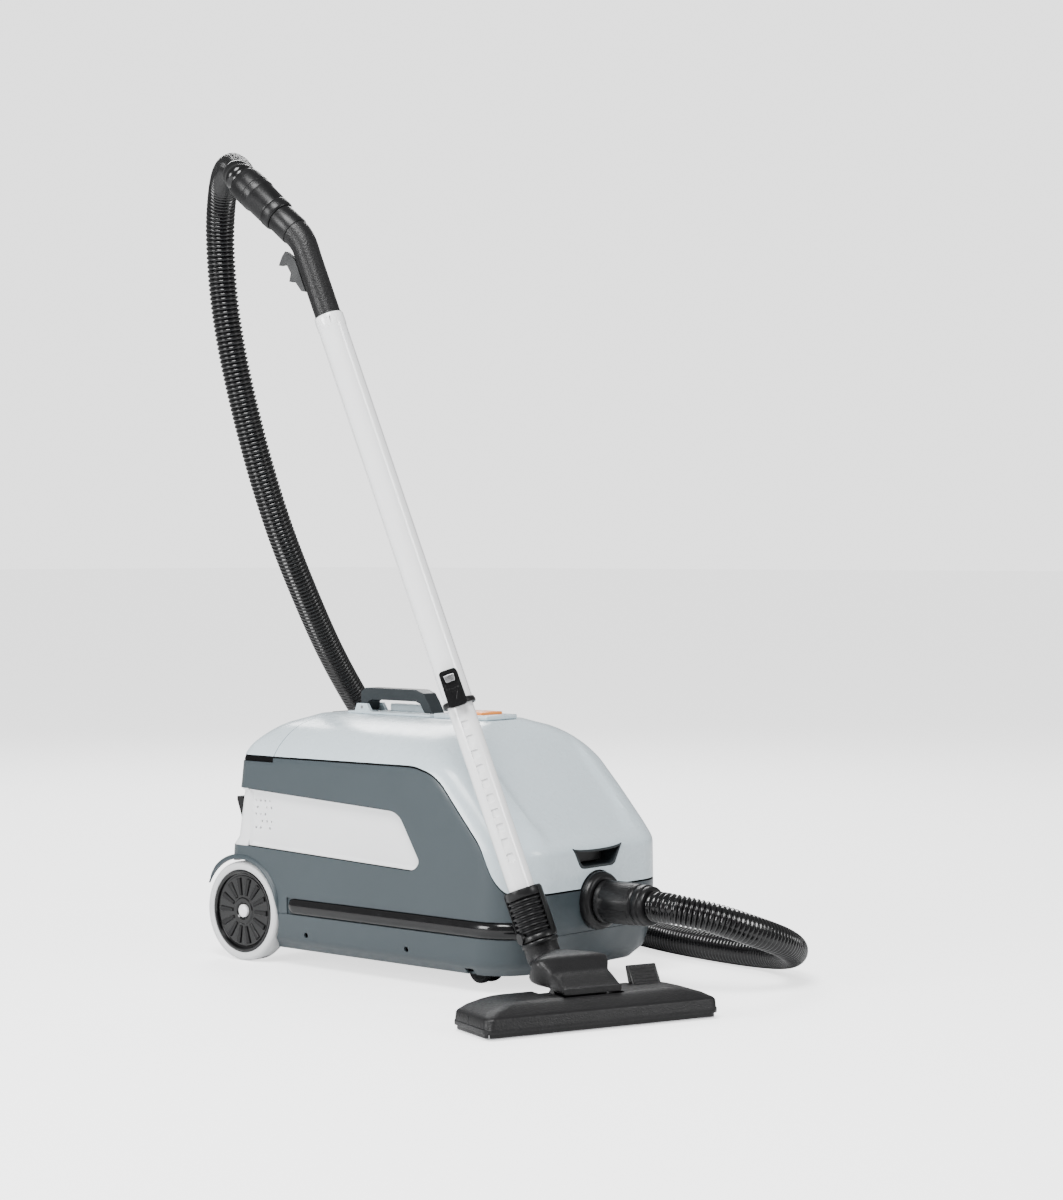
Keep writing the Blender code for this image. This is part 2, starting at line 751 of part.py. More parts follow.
def motor_side():
    bulkhead = box("motor_bulkhead", (-0.1420, -0.0450, 0.0360), (0.1420, -0.0415, 0.2600))
    hole = rod("hole", (0, -0.06, 0.145), (0, -0.03, 0.145), 0.030, 24, CUTTERS)
    bulkhead = cut(bulkhead, hole)
    bulkhead.name = "motor_bulkhead"
    finish(bulkhead, GRAPHITE)
    motor = Vector((0, 0, 0.145))
    back = Vector((0, 1, 0))
    ring = ((0.0400, -0.0412), (0.0600, -0.0412), (0.0600, -0.0360), (0.0400, -0.0360))
    finish(turned("motor_mount", ring, motor, back, 20), FOAM)
    case = (
        (0.0300, -0.0357), (0.0620, -0.0357), (0.0640, -0.0320), (0.0640, 0.0060), (0.0480, 0.0120),
        (0.0480, 0.0480), (0.0440, 0.0520), (0.0060, 0.0520), (0.0060, 0.0480), (0.0420, 0.0460),
        (0.0420, 0.0080), (0.0600, 0.0030), (0.0600, -0.0310), (0.0300, -0.0320),
    )
    finish(turned("motor_housing", case, motor, back, 20), STEEL)
    fan = (
        (0.0, -0.0300), (0.0120, -0.0290), (0.0160, -0.0240), (0.0560, -0.0240), (0.0560, -0.0080),
        (0.0300, -0.0050), (0.0300, 0.0050), (0.0360, 0.0100), (0.0360, 0.0400), (0.0055, 0.0440),
        (0.0055, 0.0510), (0.0, 0.0510),
    )
    finish(turned("motor_fan", fan, motor, back, 20), STEEL, motor)
    finish(box("control_board", (-0.1300, -0.0300, 0.080), (-0.1284, 0.0500, 0.135)), BOARD)
    finish(box("exhaust_filter", (-0.0900, 0.1150, 0.2280), (0.0900, 0.1640, 0.2640), 0.0015), PAPER)


def battery():
    low, high = BATTERY_Z
    pack = box("battery_pack", (-BATTERY_HALF, 0.0620, low), (BATTERY_HALF, 0.2030, high), 0.0015)
    shape = (
        (0.1990, 0.1580), (0.2090, 0.1580), (0.2200, 0.1630), (0.2375, 0.2060), (0.2375, 0.2110),
        (0.2270, 0.2110), (0.2100, 0.1800), (0.1990, 0.1800),
    )
    grip = prism("grip", shape, "X", -0.0980, 0.0980, CUTTERS)
    pack = cut(pack, grip, "UNION")
    pack.name = "battery_pack"
    finish(pack, BLACK)
    contacts = box("battery_contacts", (-0.040, 0.0545, 0.166), (0.040, 0.0570, 0.199))
    for x in (-0.030, -0.010, 0.010, 0.030):
        blade = box("blade", (x - 0.004, 0.0560, 0.170), (x + 0.004, 0.0617, 0.195), collection=CUTTERS)
        contacts = cut(contacts, blade, "UNION")
    contacts.name = "battery_contacts"
    finish(contacts, STEEL)


# ---------------------------------------------------------------- floor head
def head_point(x, y, z):
    return HEAD + HEAD_X * x + HEAD_Y * y + Vector((0, 0, z))


def to_head(obj):
    turn = Matrix((HEAD_X, HEAD_Y, Vector((0, 0, 1)))).transposed().to_4x4()
    turn.translation = HEAD
    obj.data.transform(turn)
    return obj


def head_ring(half, front, rear, z, radius):
    points = []
    for x, y, start in (
        (half - radius, rear - radius, 0),
        (-half + radius, rear - radius, 90),
        (-half + radius, front + radius, 180),
        (half - radius, front + radius, 270),
    ):
        for k in range(5):
            a = math.radians(start + 22.5 * k)
            points.append(Vector((x + radius * math.cos(a), y + radius * math.sin(a), z)))
    return points


def floor_head():
    half, deep = HEAD_HALF, HEAD_DEPTH
    x, y, z = NECK_HINGE
    rings = (
        head_ring(half, -deep, deep, 0.0078, 0.010),
        head_ring(half - 0.001, -deep + 0.001, deep - 0.001, 0.0240, 0.010),
        head_ring(half - 0.010, -deep + 0.010, deep - 0.002, 0.0300, 0.012),
        head_ring(half - 0.040, -deep + 0.026, deep - 0.004, 0.0370, 0.014),
    )
    obj = loft("nozzle_body", rings)
    wall = 0.004
    low, high = (wall - half, wall - deep, 0.0), (half - wall, deep - wall, 0.0205)
    obj = cut(obj, box("cavity", low, high, collection=CUTTERS))
    notch = box("notch", (-0.0345, 0.0060, 0.0165), (0.0345, 0.0500, 0.05), collection=CUTTERS)
    obj = cut(obj, notch)
    slot = box("slot", (0.0740, 0.0205, 0.0240), (0.1160, 0.0500, 0.05), collection=CUTTERS)
    obj = cut(obj, slot)
    pins = rod("pins", (-0.040, y, z), (0.040, y, z), 0.0043, 12, CUTTERS)
    obj = cut(obj, pins)
    obj.name = "nozzle_body"
    finish(to_head(obj), BLACK)

    wall = 0.0045
    sole = box("nozzle_sole", (wall - half, wall - deep, 0.0015), (half - wall, deep - wall, 0.0075))
    for low, high in (
        ((-0.120, -0.0080, -0.01), (0.120, 0.0080, 0.02)),
        ((-0.1405, -0.0265, -0.01), (0.1405, -0.0195, 0.02)),
        ((-0.0705, 0.0220, -0.01), (-0.0495, 0.0500, 0.02)),
        ((0.0495, 0.0220, -0.01), (0.0705, 0.0500, 0.02)),
    ):
        sole = cut(sole, box("hole", low, high, collection=CUTTERS))
    sole.name = "nozzle_sole"
    finish(to_head(sole), STEEL)

    strip = box("brush_strip", (-0.140, -0.0258, 0.0045), (0.140, -0.0202, 0.0160))
    finish(to_head(strip), GRAPHITE)
    for x0, name in ((-0.069, "left"), (0.051, "right")):
        start, end = (x0, 0.0305, 0.0077), (x0 + 0.018, 0.0305, 0.0077)
        roller = rod("nozzle_roller_" + name, start, end, 0.0075, 14)
        finish(to_head(roller), GRAPHITE, head_point(0, 0.0305, 0.0077))
    shape = (
        (0.0215, 0.0262),
        (0.0398, 0.0262),
        (0.0398, 0.0300),
        (0.0330, 0.0320),
        (0.0420, 0.0560),
        (0.0385, 0.0575),
        (0.0215, 0.0300),
    )
    flap = prism("nozzle_pedal", shape, "X", 0.0750, 0.1150)
    finish(to_head(flap), BLACK, head_point(0.095, 0.0300, 0.0290))


def neck():
    """The elbow: flat at the hinge in the head, round where the socket sits."""
    y, z = NECK_HINGE[1:]
    top = WAND - WAND_DIR * 0.0670
    foot = WAND - WAND_DIR * 0.0860
    stations = (
        (head_point(0, y - 0.010, z), 0.030, 0.0090, HEAD_Y),
        (head_point(0, y + 0.002, z + 0.002), 0.033, 0.0115, HEAD_Y),
        (head_point(0, 0.060, 0.0400), 0.030, 0.0125, (HEAD_Y + Vector((0, 0, 0.35)))),
        (foot * 0.55 + head_point(0, 0.060, 0.0400) * 0.45, 0.024, 0.0175, (HEAD_Y + Vector((0, 0, 0.9)))),
        (foot, 0.0215, 0.0210, WAND_DIR),
        (top, 0.0215, 0.0215, WAND_DIR),
    )
    rings = []
    for centre, wide, tall, along in stations:
        along = Vector(along).normalized()
        across = (HEAD_X - HEAD_X.dot(along) * along).normalized()
        up = across.cross(along)
        ring = []
        for k in range(24):
            a = 2 * math.pi * k / 24
            ring.append(centre + across * wide * math.cos(a) - up * tall * math.sin(a))
        rings.append(ring)
    obj = loft("neck", rings)
    hinge = head_point(*NECK_HINGE)
    for side in (-1, 1):
        pin = rod("pin", hinge + HEAD_X * side * 0.020, hinge + HEAD_X * side * 0.0380, 0.0040, 12, CUTTERS)
        obj = cut(obj, pin, "UNION")
    obj.name = "neck"
    return finish(obj, BLACK, hinge)


def on_wand(t, out=0.0, toward=None):
    point = WAND + WAND_DIR * t
    return point + toward * out if toward else point


def clip_axes():
    out = (CLIP_SIDE - CLIP_SIDE.dot(WAND_DIR) * WAND_DIR).normalized()
    return out.cross(WAND_DIR), out


def clip_box(name, wide, low_out, high_out, low_t, high_t, bevel, collection=PARTS):
    side, out = clip_axes()
    obj = box(name, (-wide, low_out, low_t), (wide, high_out, high_t), bevel, collection)
    turn = Matrix((side, out, WAND_DIR)).transposed().to_4x4()
    turn.translation = WAND
    obj.data.transform(turn)
    return obj


def wand():
    socket = (
        (0.0165, -0.0630), (0.0225, -0.0630), (0.0225, -0.0540), (0.0205, -0.0530), (0.0205, -0.0120),
        (0.0222, -0.0110), (0.0222, 0.0), (0.0165, 0.0),
    )
    finish(turned("neck_socket", socket, WAND, WAND_DIR, 20), BLACK, WAND)
    low, high = LOWER_TUBE
    lower = ((0.0148, low), (LOWER_R, low), (LOWER_R, high), (0.0148, high))
    finish(turned("wand_lower", lower, WAND, WAND_DIR, 20), WHITE, WAND)
    low, high = UPPER_TUBE
    upper = ((0.0165, low), (UPPER_R, low), (UPPER_R, high), (0.0165, high))
    finish(turned("wand_upper", upper, WAND, WAND_DIR, 20), WHITE, WAND)
    ring = (
        (0.0181, 0.2330), (0.0198, 0.2330), (0.0206, 0.2350), (0.0206, 0.2520), (0.0195, 0.2560),
        (0.0181, 0.2560),
    )
    finish(turned("wand_ring", ring, WAND, WAND_DIR, 20), BLACK, WAND)
    finish(clip_box("wand_clip", 0.0115, 0.0209, 0.0285, 0.2300, 0.2760, 0.0020), BLACK)
    finish(clip_box("clip_button", 0.0075, 0.0288, 0.0318, 0.2560, 0.2700, 0.0010), STEEL)


def bent_handle():
    bend = on_wand(BEND)
    path = [on_wand(t) for t in (0.690, 0.7460, 0.8200, 0.8380)]
    radii = [0.0162, 0.0160, 0.0162, 0.0166]
    for k in range(1, 4):
        t = k / 4
        before, after = on_wand(0.8380).lerp(bend, t), bend.lerp(bend + GRIP_DIR * 0.014, t)
        path.append(before.lerp(after, t))
        radii.append(0.0166 + 0.0014 * t)
    for s, r in ((0.014, 0.0180), (0.0440, 0.0184)):
        path.append(bend + GRIP_DIR * s)
        radii.append(r)
    finish(tube_along("bent_handle", path, radii, 24), BLACK)
    cuff = (
        (0.0150, 0.0443), (0.0196, 0.0443), (0.0212, 0.0470), (0.0216, 0.0560), (0.0205, 0.0590),
        (0.0214, 0.0840), (0.0228, 0.0870), (0.0228, 0.1080), (0.0214, GRIP_END), (0.0150, GRIP_END),
    )
    finish(turned("cuff_top", cuff, bend, GRIP_DIR, 20), BLACK, bend)
    under = (Vector((0, 0, 1)) - WAND_DIR.z * WAND_DIR).normalized() * -1
    shape = (
        (0.0169, 0.7860), (0.0230, 0.7900), (0.0270, 0.8040), (0.0350, 0.8080), (0.0290, 0.8170),
        (0.0310, 0.8300), (0.0420, 0.8330), (0.0330, 0.8420), (0.0262, 0.8460), (0.0169, 0.8300),
    )
    plate = prism("grip_bracket", shape, "X", -0.0050, 0.0050)
    turn = Matrix((under.cross(WAND_DIR), under, WAND_DIR)).transposed().to_4x4()
    turn.translation = WAND
    plate.data.transform(turn)
    finish(plate, GRAPHITE)


# ---------------------------------------------------------------- hose
def smooth_route(points, spacing):
    """Points a fixed way apart on a smooth curve through the route."""
    fine = []
    for i in range(len(points) - 1):
        p0 = points[max(i - 1, 0)]
        p1, p2 = points[i], points[i + 1]
        p3 = points[min(i + 2, len(points) - 1)]
        for k in range(12):
            t = k / 12
            straight = (p2 - p0) * t
            curved = (2 * p0 - 5 * p1 + 4 * p2 - p3) * t**2
            twist = (3 * p1 - p0 - 3 * p2 + p3) * t**3
            fine.append(0.5 * (2 * p1 + straight + curved + twist))
    fine.append(points[-1])
    along = [0.0]
    for a, b in zip(fine, fine[1:]):
        along.append(along[-1] + (b - a).length)
    count = round(along[-1] / spacing)
    wanted = [along[-1] * k / count for k in range(count + 1)]
    out = []
    i = 0
    for w in wanted:
        while i < len(along) - 2 and along[i + 1] < w:
            i += 1
        t = (w - along[i]) / (along[i + 1] - along[i])
        out.append(fine[i].lerp(fine[i + 1], min(max(t, 0.0), 1.0)))
    return out


def hose():
    start = Vector(HOSE_ROUTE[0])
    end = on_wand(BEND) + GRIP_DIR * (GRIP_END + GAP)
    points = smooth_route([Vector(p) for p in HOSE_ROUTE] + [end], HOSE_SPACING)
    points.insert(1, start + Vector((0, -HOSE_LEAD, 0)))
    points.insert(-1, end + GRIP_DIR * HOSE_LEAD)
    curve = bpy.data.curves.new("hose", "CURVE")
    curve.dimensions = "3D"
    curve.bevel_depth = HOSE_R
    curve.bevel_resolution = 2
    curve.use_fill_caps = True
    spline = curve.splines.new("POLY")
    spline.points.add(len(points) - 1)
    for spot, point in zip(spline.points, points):
        spot.co = (*point, 1.0)
    obj = bpy.data.objects.new("hose", curve)
    PARTS.objects.link(obj)
    obj.parent = BASE
    curve.materials.append(material("hose", *BLACK))
    cuff = (
        (0.0170, -0.0878), (0.0215, -0.0878), (0.0250, -0.0860), (0.0255, -0.0680), (0.0262, -0.0660),
        (0.0262, -0.0130), (0.0228, -0.0130), (0.0228, 0.0190), (0.0170, 0.0190),
    )
    finish(turned("cuff_bottom", cuff, INLET, (0, 1, 0), 20), BLACK, INLET)


chassis()
housing()
bumper(-1, "bumper_left")
bumper(1, "bumper_right")
hood()
rear_cap()
latch()
side_strip(-1, "side_strip_left")
side_strip(1, "side_strip_right")
carry_handle()
power_button()
wheels()
casters()
dust_side()
motor_side()
battery()
floor_head()
neck()
wand()
bent_handle()
hose()
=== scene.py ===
"""Looks of a battery canister vacuum cleaner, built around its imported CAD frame.

Lengths are metres in the row frame. "Machine axes" are the row frame moved to the machine: x = 0 is
its middle plane, -Y its hose end and z = 0 the floor. The shells are drawn there and then placed.
"""

import json
import math

import bmesh
import bpy
from mathutils import Matrix, Vector, noise


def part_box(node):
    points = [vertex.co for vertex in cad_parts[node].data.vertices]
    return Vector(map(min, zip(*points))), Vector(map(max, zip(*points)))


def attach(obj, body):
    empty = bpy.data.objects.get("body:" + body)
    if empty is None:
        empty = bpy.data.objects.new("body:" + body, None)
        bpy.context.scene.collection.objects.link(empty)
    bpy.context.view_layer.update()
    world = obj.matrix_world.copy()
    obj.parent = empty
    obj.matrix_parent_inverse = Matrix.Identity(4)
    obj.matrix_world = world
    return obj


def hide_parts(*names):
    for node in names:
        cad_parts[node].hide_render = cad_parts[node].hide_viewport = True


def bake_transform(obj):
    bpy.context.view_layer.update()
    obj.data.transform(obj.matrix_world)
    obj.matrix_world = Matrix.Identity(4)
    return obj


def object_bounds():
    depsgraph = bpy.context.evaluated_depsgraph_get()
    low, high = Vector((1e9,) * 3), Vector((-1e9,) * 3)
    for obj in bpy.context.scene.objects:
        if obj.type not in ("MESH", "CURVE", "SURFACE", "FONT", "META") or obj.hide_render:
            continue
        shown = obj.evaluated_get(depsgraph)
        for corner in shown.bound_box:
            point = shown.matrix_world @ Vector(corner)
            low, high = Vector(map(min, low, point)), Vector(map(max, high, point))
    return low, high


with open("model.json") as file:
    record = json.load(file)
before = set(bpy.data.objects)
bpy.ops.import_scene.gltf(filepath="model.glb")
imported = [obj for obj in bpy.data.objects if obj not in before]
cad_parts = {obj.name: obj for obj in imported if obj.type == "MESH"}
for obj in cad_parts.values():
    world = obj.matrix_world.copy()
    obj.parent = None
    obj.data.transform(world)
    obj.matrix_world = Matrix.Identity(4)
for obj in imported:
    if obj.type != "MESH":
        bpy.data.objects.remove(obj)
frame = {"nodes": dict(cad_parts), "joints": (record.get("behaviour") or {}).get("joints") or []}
CAD_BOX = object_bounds()
NODES = frame["nodes"]
JOINTS = {joint["name"]: joint for joint in frame["joints"]}


def joint_place(name):
    return Vector(JOINTS[name]["pos_m"])


def joint_axis(name):
    return Vector(JOINTS[name]["axis"]).normalized()


MACHINE = joint_place("motor_spin") * Vector((1, 1, 0))
WAND, WAND_DIR = joint_place("neck_swivel"), joint_axis("neck_swivel")
BEND, GRIP_DIR = joint_place("handle_cuff_turn"), joint_axis("handle_cuff_turn")
HEAD_X = joint_axis("head_rollers_spin")
HEAD_Y = Vector((-HEAD_X.y, HEAD_X.x, 0))
ROLLER_BACK = 0.0305
HEAD = (joint_place("head_rollers_spin") - HEAD_Y * ROLLER_BACK) * Vector((1, 1, 0))
UP = Vector((0, 0, 1))

# Body form: height, half width, front, rear, front corner radius, rear corner radius
SECTIONS = (
    (0.022, 0.136, -0.286, 0.180, 0.052, 0.020),
    (0.036, 0.150, -0.301, 0.190, 0.060, 0.022),
    (0.075, 0.155, -0.316, 0.198, 0.066, 0.022),
    (0.120, 0.155, -0.317, 0.197, 0.066, 0.022),
    (0.175, 0.155, -0.316, 0.192, 0.066, 0.022),
    (0.194, 0.155, -0.301, 0.189, 0.066, 0.022),
    (0.236, 0.155, -0.263, 0.180, 0.066, 0.022),
    (0.273, 0.155, -0.227, 0.175, 0.066, 0.022),
    (0.289, 0.143, -0.212, 0.172, 0.060, 0.024),
    (0.304, 0.125, -0.197, 0.165, 0.056, 0.034),
    (0.314, 0.107, -0.183, 0.156, 0.052, 0.036),
    (0.321, 0.084, -0.172, 0.144, 0.046, 0.036),
    (0.326, 0.050, -0.160, 0.128, 0.036, 0.030),
)
BASE_Z, SEAM_Z, TOP_Z = 0.022, 0.0706, 0.326
WALL, SHELL = 0.0035, 0.003
SIDES = ((-1, "left"), (1, "right"))
SEAM_Y = 0.1070
# The edge that the hood and the rear cap rest on, as (y, z) from front to rear
SPLIT = (
    (-0.40, 0.1225),
    (-0.290, 0.1225),
    (-0.2741, 0.1417),
    (-0.2578, 0.1806),
    (-0.1914, 0.2549),
    (-0.1745, 0.2663),
    (-0.1455, 0.2734),
    (0.1070, 0.2723),
    (0.1140, 0.2723),
    (0.30, 0.2723),
)
LID_GAP = 0.0025
CAP_STEP = 0.2665
BUMPER_Z = (0.0706, 0.0914)
BUMPER_REAR, BUMPER_FRONT = 0.081, 0.095
WHEEL = Vector((0, 0.1687, 0.066))
WELL_R, WELL_X = 0.0695, 0.1185
CASTER = Vector((0.070, -0.200, 0))
INLET = Vector((0, -0.317, 0.1076))
BAND_Z = (0.1540, 0.2305)
BAND_Y = 0.1548

HOSE_PITCH = 0.0060
HOSE_LEAD = 0.012
GRIP_END = 0.1163
# Route of the hose in machine axes, from the inlet cuff to the handle cuff
HOSE_ROUTE = (
    (0.000, -0.4053, 0.1076),
    (0.006, -0.440, 0.105),
    (0.032, -0.478, 0.095),
    (0.075, -0.502, 0.078),
    (0.126, -0.507, 0.060),
    (0.174, -0.491, 0.043),
    (0.210, -0.458, 0.030),
    (0.232, -0.415, 0.0225),
    (0.242, -0.362, 0.0200),
    (0.250, -0.300, 0.0200),
    (0.264, -0.235, 0.0200),
    (0.287, -0.165, 0.0200),
    (0.317, -0.095, 0.0200),
    (0.348, -0.025, 0.0210),
    (0.376, 0.045, 0.0260),
    (0.396, 0.110, 0.0390),
    (0.403, 0.170, 0.0620),
    (0.393, 0.222, 0.0980),
    (0.364, 0.260, 0.1430),
    (0.320, 0.280, 0.1900),
    (0.268, 0.285, 0.2390),
    (0.215, 0.284, 0.2890),
    (0.164, 0.279, 0.3430),
    (0.101, 0.264, 0.4100),
    (0.036, 0.246, 0.4890),
    (-0.017, 0.234, 0.5660),
    (-0.060, 0.227, 0.6480),
    (-0.093, 0.223, 0.7280),
    (-0.117, 0.221, 0.8000),
    (-0.134, 0.219, 0.8660),
    (-0.146, 0.214, 0.9250),
    (-0.158, 0.203, 0.9740),
    (-0.176, 0.179, 1.0130),
    (-0.201, 0.144, 1.0330),
    (-0.226, 0.105, 1.0360),
    (-0.246, 0.071, 1.0240),
)


# ---------------------------------------------------------------- materials
class Look:
    """A Principled material with helpers that add its procedural detail."""

    def __init__(self, name, **sockets):
        self.mat = bpy.data.materials.new(name)
        self.mat.use_nodes = True
        self.tree = self.mat.node_tree
        self.shader = self.tree.nodes["Principled BSDF"]
        self.coords = self.tree.nodes.new("ShaderNodeTexCoord").outputs["Object"]
        for socket, value in sockets.items():
            self.shader.inputs[socket.replace("_", " ")].default_value = value

    def link(self, out, into):
        self.tree.links.new(out, into)

    def noise(self, scale, detail=2.0, stretch=(1, 1, 1)):
        node = self.tree.nodes.new("ShaderNodeTexNoise")
        node.inputs["Scale"].default_value = scale
        node.inputs["Detail"].default_value = detail
        mapping = self.tree.nodes.new("ShaderNodeMapping")
        mapping.inputs["Scale"].default_value = stretch
        self.link(self.coords, mapping.inputs["Vector"])
        self.link(mapping.outputs["Vector"], node.inputs["Vector"])
        return node.outputs["Fac"]

    def cells(self, scale):
        node = self.tree.nodes.new("ShaderNodeTexVoronoi")
        node.inputs["Scale"].default_value = scale
        self.link(self.coords, node.inputs["Vector"])
        return node.outputs["Distance"]

    def between(self, value, low, high):
        node = self.tree.nodes.new("ShaderNodeMapRange")
        node.inputs["From Min"].default_value = 0.3
        node.inputs["From Max"].default_value = 0.7
        node.inputs["To Min"].default_value = low
        node.inputs["To Max"].default_value = high
        self.link(value, node.inputs["Value"])
        return node.outputs["Result"]

    def colour(self, rgb, swing, scale=9.0):
        """The base colour, lighter and darker by a share in soft patches."""
        node = self.tree.nodes.new("ShaderNodeMix")
        node.data_type = "RGBA"
        node.inputs[6].default_value = (*[c * (1 - swing) for c in rgb], 1)
        node.inputs[7].default_value = (*[min(1, c * (1 + swing)) for c in rgb], 1)
        self.link(self.between(self.noise(scale, 4.0), 0, 1), node.inputs[0])
        self.link(node.outputs[2], self.shader.inputs["Base Color"])
        return self

    def rough(self, middle, swing, scale=60.0):
        value = self.between(self.noise(scale, 3.0), middle - swing, middle + swing)
        self.link(value, self.shader.inputs["Roughness"])
        return self

    def relief(self, height, depth):
        node = self.tree.nodes.new("ShaderNodeBump")
        node.inputs["Distance"].default_value = depth
        node.inputs["Strength"].default_value = 1.0
        self.link(height, node.inputs["Height"])
        self.link(node.outputs["Normal"], self.shader.inputs["Normal"])
        return self


def plastic(name, rgb, roughness, grain=1800.0, depth=0.00005, swing=0.04, **sockets):
    look = Look(name, **sockets).colour(rgb, swing).rough(roughness, 0.05)
    return look.relief(look.noise(grain), depth).mat


def leather_grain(name, rgb, roughness, scale=620.0, depth=0.00022):
    """Moulded plastic with a coarse pebbled surface."""
    look = Look(name, Specular_IOR_Level=0.3).colour(rgb, 0.12, 40.0).rough(roughness, 0.07, 300.0)
    return look.relief(look.cells(scale), depth).mat


def brushed(name, rgb, roughness, stretch):
    look = Look(name, Metallic=1.0).colour(rgb, 0.06, 30.0).rough(roughness, 0.08, 90.0)
    return look.relief(look.noise(420.0, 2.0, stretch), 0.00003).mat


def fleece(name, rgb):
    look = Look(name, Sheen_Weight=0.3, Sheen_Roughness=0.6).colour(rgb, 0.10, 120.0)
    look.rough(0.88, 0.05)
    return look.relief(look.noise(900.0, 6.0, (1, 1, 3)), 0.0004).mat


def foam(name, rgb):
    look = Look(name).colour(rgb, 0.25, 500.0).rough(0.93, 0.04)
    return look.relief(look.cells(700.0), 0.0008).mat


M = {
    "slate": plastic("slate_plastic", (0.040, 0.052, 0.059), 0.36, 2200.0, 0.00004, 0.035,
                     Specular_IOR_Level=0.35),
    # A darker copy of the slate: the own colour of the carry handle and latch frame, and painted shade in
    # the wheel wells and caster cups.
    "dark_slate_and_shade": plastic("slate_dark_plastic", (0.018, 0.023, 0.026), 0.40, 2200.0, 0.00004,
                          Specular_IOR_Level=0.3),
    "pale": plastic("pale_plastic", (0.540, 0.630, 0.675), 0.27, 2600.0, 0.00002, 0.02, Coat_Weight=0.25,
                    Coat_Roughness=0.16),
    "white": plastic("white_enamel", (0.87, 0.875, 0.88), 0.17, 600.0, 0.00001, 0.012, Coat_Weight=0.5,
                     Coat_Roughness=0.06),
    "frosted": plastic("frosted_panel", (0.83, 0.84, 0.85), 0.34, 1400.0, 0.00003, 0.02,
                       Subsurface_Weight=0.2, Subsurface_Scale=0.004, Subsurface_Radius=(1, 1, 1)),
    "black": plastic("black_satin", (0.0045, 0.0045, 0.0050), 0.34, 1500.0, 0.00005, 0.10,
                     Specular_IOR_Level=0.28),
    "black_gloss": plastic("black_gloss", (0.0032, 0.0032, 0.0036), 0.17, 900.0, 0.00002, 0.10,
                           Specular_IOR_Level=0.35, Coat_Weight=0.15, Coat_Roughness=0.08),
    "grained": leather_grain("black_grained", (0.0065, 0.0065, 0.0070), 0.40),
    "graphite": plastic("graphite_plastic", (0.012, 0.013, 0.014), 0.48, 1500.0, 0.00008, 0.08,
                        Specular_IOR_Level=0.3),
    "grey": plastic("grey_plastic", (0.300, 0.320, 0.330), 0.42, 1500.0, 0.00005),
    "hose": plastic("hose_black", (0.0030, 0.0030, 0.0034), 0.20, 500.0, 0.00002, 0.12, Coat_Weight=0.2,
                    Coat_Roughness=0.12, Specular_IOR_Level=0.35),
    "rubber": plastic("tyre_rubber", (0.600, 0.610, 0.615), 0.56, 900.0, 0.00009, 0.045),
    "orange": plastic("orange_plastic", (0.930, 0.290, 0.045), 0.34, 2000.0, 0.00003, 0.03),
    "steel": brushed("brushed_steel", (0.42, 0.42, 0.43), 0.30, (1, 18, 1)),
    "motor": plastic("motor_case", (0.10, 0.10, 0.11), 0.45, 1200.0, 0.00008),
    "paper": fleece("filter_fleece", (0.74, 0.70, 0.60)),
    "foam": foam("open_foam", (0.10, 0.11, 0.14)),
    "board": plastic("circuit_board", (0.03, 0.18, 0.09), 0.40, 800.0, 0.00006, 0.2),
    # Near-black matte fill for seams, gaps and the latch opening: painted shade.
    "shade_fill": plastic("painted_gap_shade", (0.0015, 0.0015, 0.0018), 0.85, 900.0, 0.00005, Specular_IOR_Level=0.1),
}


# ---------------------------------------------------------------- mesh helpers
def closed(bm):
    bmesh.ops.recalc_face_normals(bm, faces=bm.faces)
    if bm.calc_volume(signed=True) < 0:
        bmesh.ops.reverse_faces(bm, faces=bm.faces)
    return bm


def made(name, bm, turn=None):
    closed(bm)
    if turn is not None:
        bm.transform(turn)
    mesh = bpy.data.meshes.new(name)
    bm.to_mesh(mesh)
    bm.free()
    obj = bpy.data.objects.new(name, mesh)
    bpy.context.scene.collection.objects.link(obj)
    return obj


def to_machine():
    return Matrix.Translation(MACHINE)


def to_head():
    turn = Matrix((HEAD_X, HEAD_Y, UP)).transposed().to_4x4()
    turn.translation = HEAD
    return turn


def along(origin, direction, hint=UP):
    """A frame with +Z along the direction and +Y near the hint."""
    z = Vector(direction).normalized()
    y = Vector(hint) - Vector(hint).dot(z) * z
    if y.length < 0.01:
        y = Vector((0, 1, 0)) - z.y * z
    y.normalize()
    turn = Matrix((y.cross(z), y, z)).transposed().to_4x4()
    turn.translation = origin
    return turn


def loft(name, rings, turn=None, caps=True):
    bm = bmesh.new()
    rows = [[bm.verts.new(p) for p in ring] for ring in rings]
    count = len(rows[0])
    for lower, upper in zip(rows, rows[1:]):
        for i in range(count):
            j = (i + 1) % count
            bm.faces.new((lower[i], lower[j], upper[j], upper[i]))
    if caps:
        bm.faces.new(rows[0])
        bm.faces.new(rows[-1])
    return made(name, bm, turn)


def lathe(name, profile, turn, steps=56):
    """A closed loop of (radius, distance along) points turned about the frame's Z."""
    bm = bmesh.new()
    rows = []
    for k in range(steps):
        a = 2 * math.pi * k / steps
        rows.append([bm.verts.new((r * math.cos(a), r * math.sin(a), z)) for r, z in profile])
    size = len(profile)
    for k in range(steps):
        here, there = rows[k], rows[(k + 1) % steps]
        for i in range(size):
            j = (i + 1) % size
            bm.faces.new((here[i], here[j], there[j], there[i]))
    bmesh.ops.remove_doubles(bm, verts=bm.verts, dist=1e-6)
    bmesh.ops.dissolve_degenerate(bm, edges=bm.edges, dist=1e-7)
    return made(name, bm, turn)


def prism(name, outline, axis, low, high, turn=None):
    spot = "XYZ".index(axis)
    rings = []
    for depth in (low, high):
        ring = [list(point) for point in outline]
        for point in ring:
            point.insert(spot, depth)
        rings.append(ring)
    return loft(name, rings, turn)


def block(name, low, high, turn=None):
    return prism(name, ((low[0], low[1]), (high[0], low[1]), (high[0], high[1]), (low[0], high[1])),
                 "Z", low[2], high[2], turn)


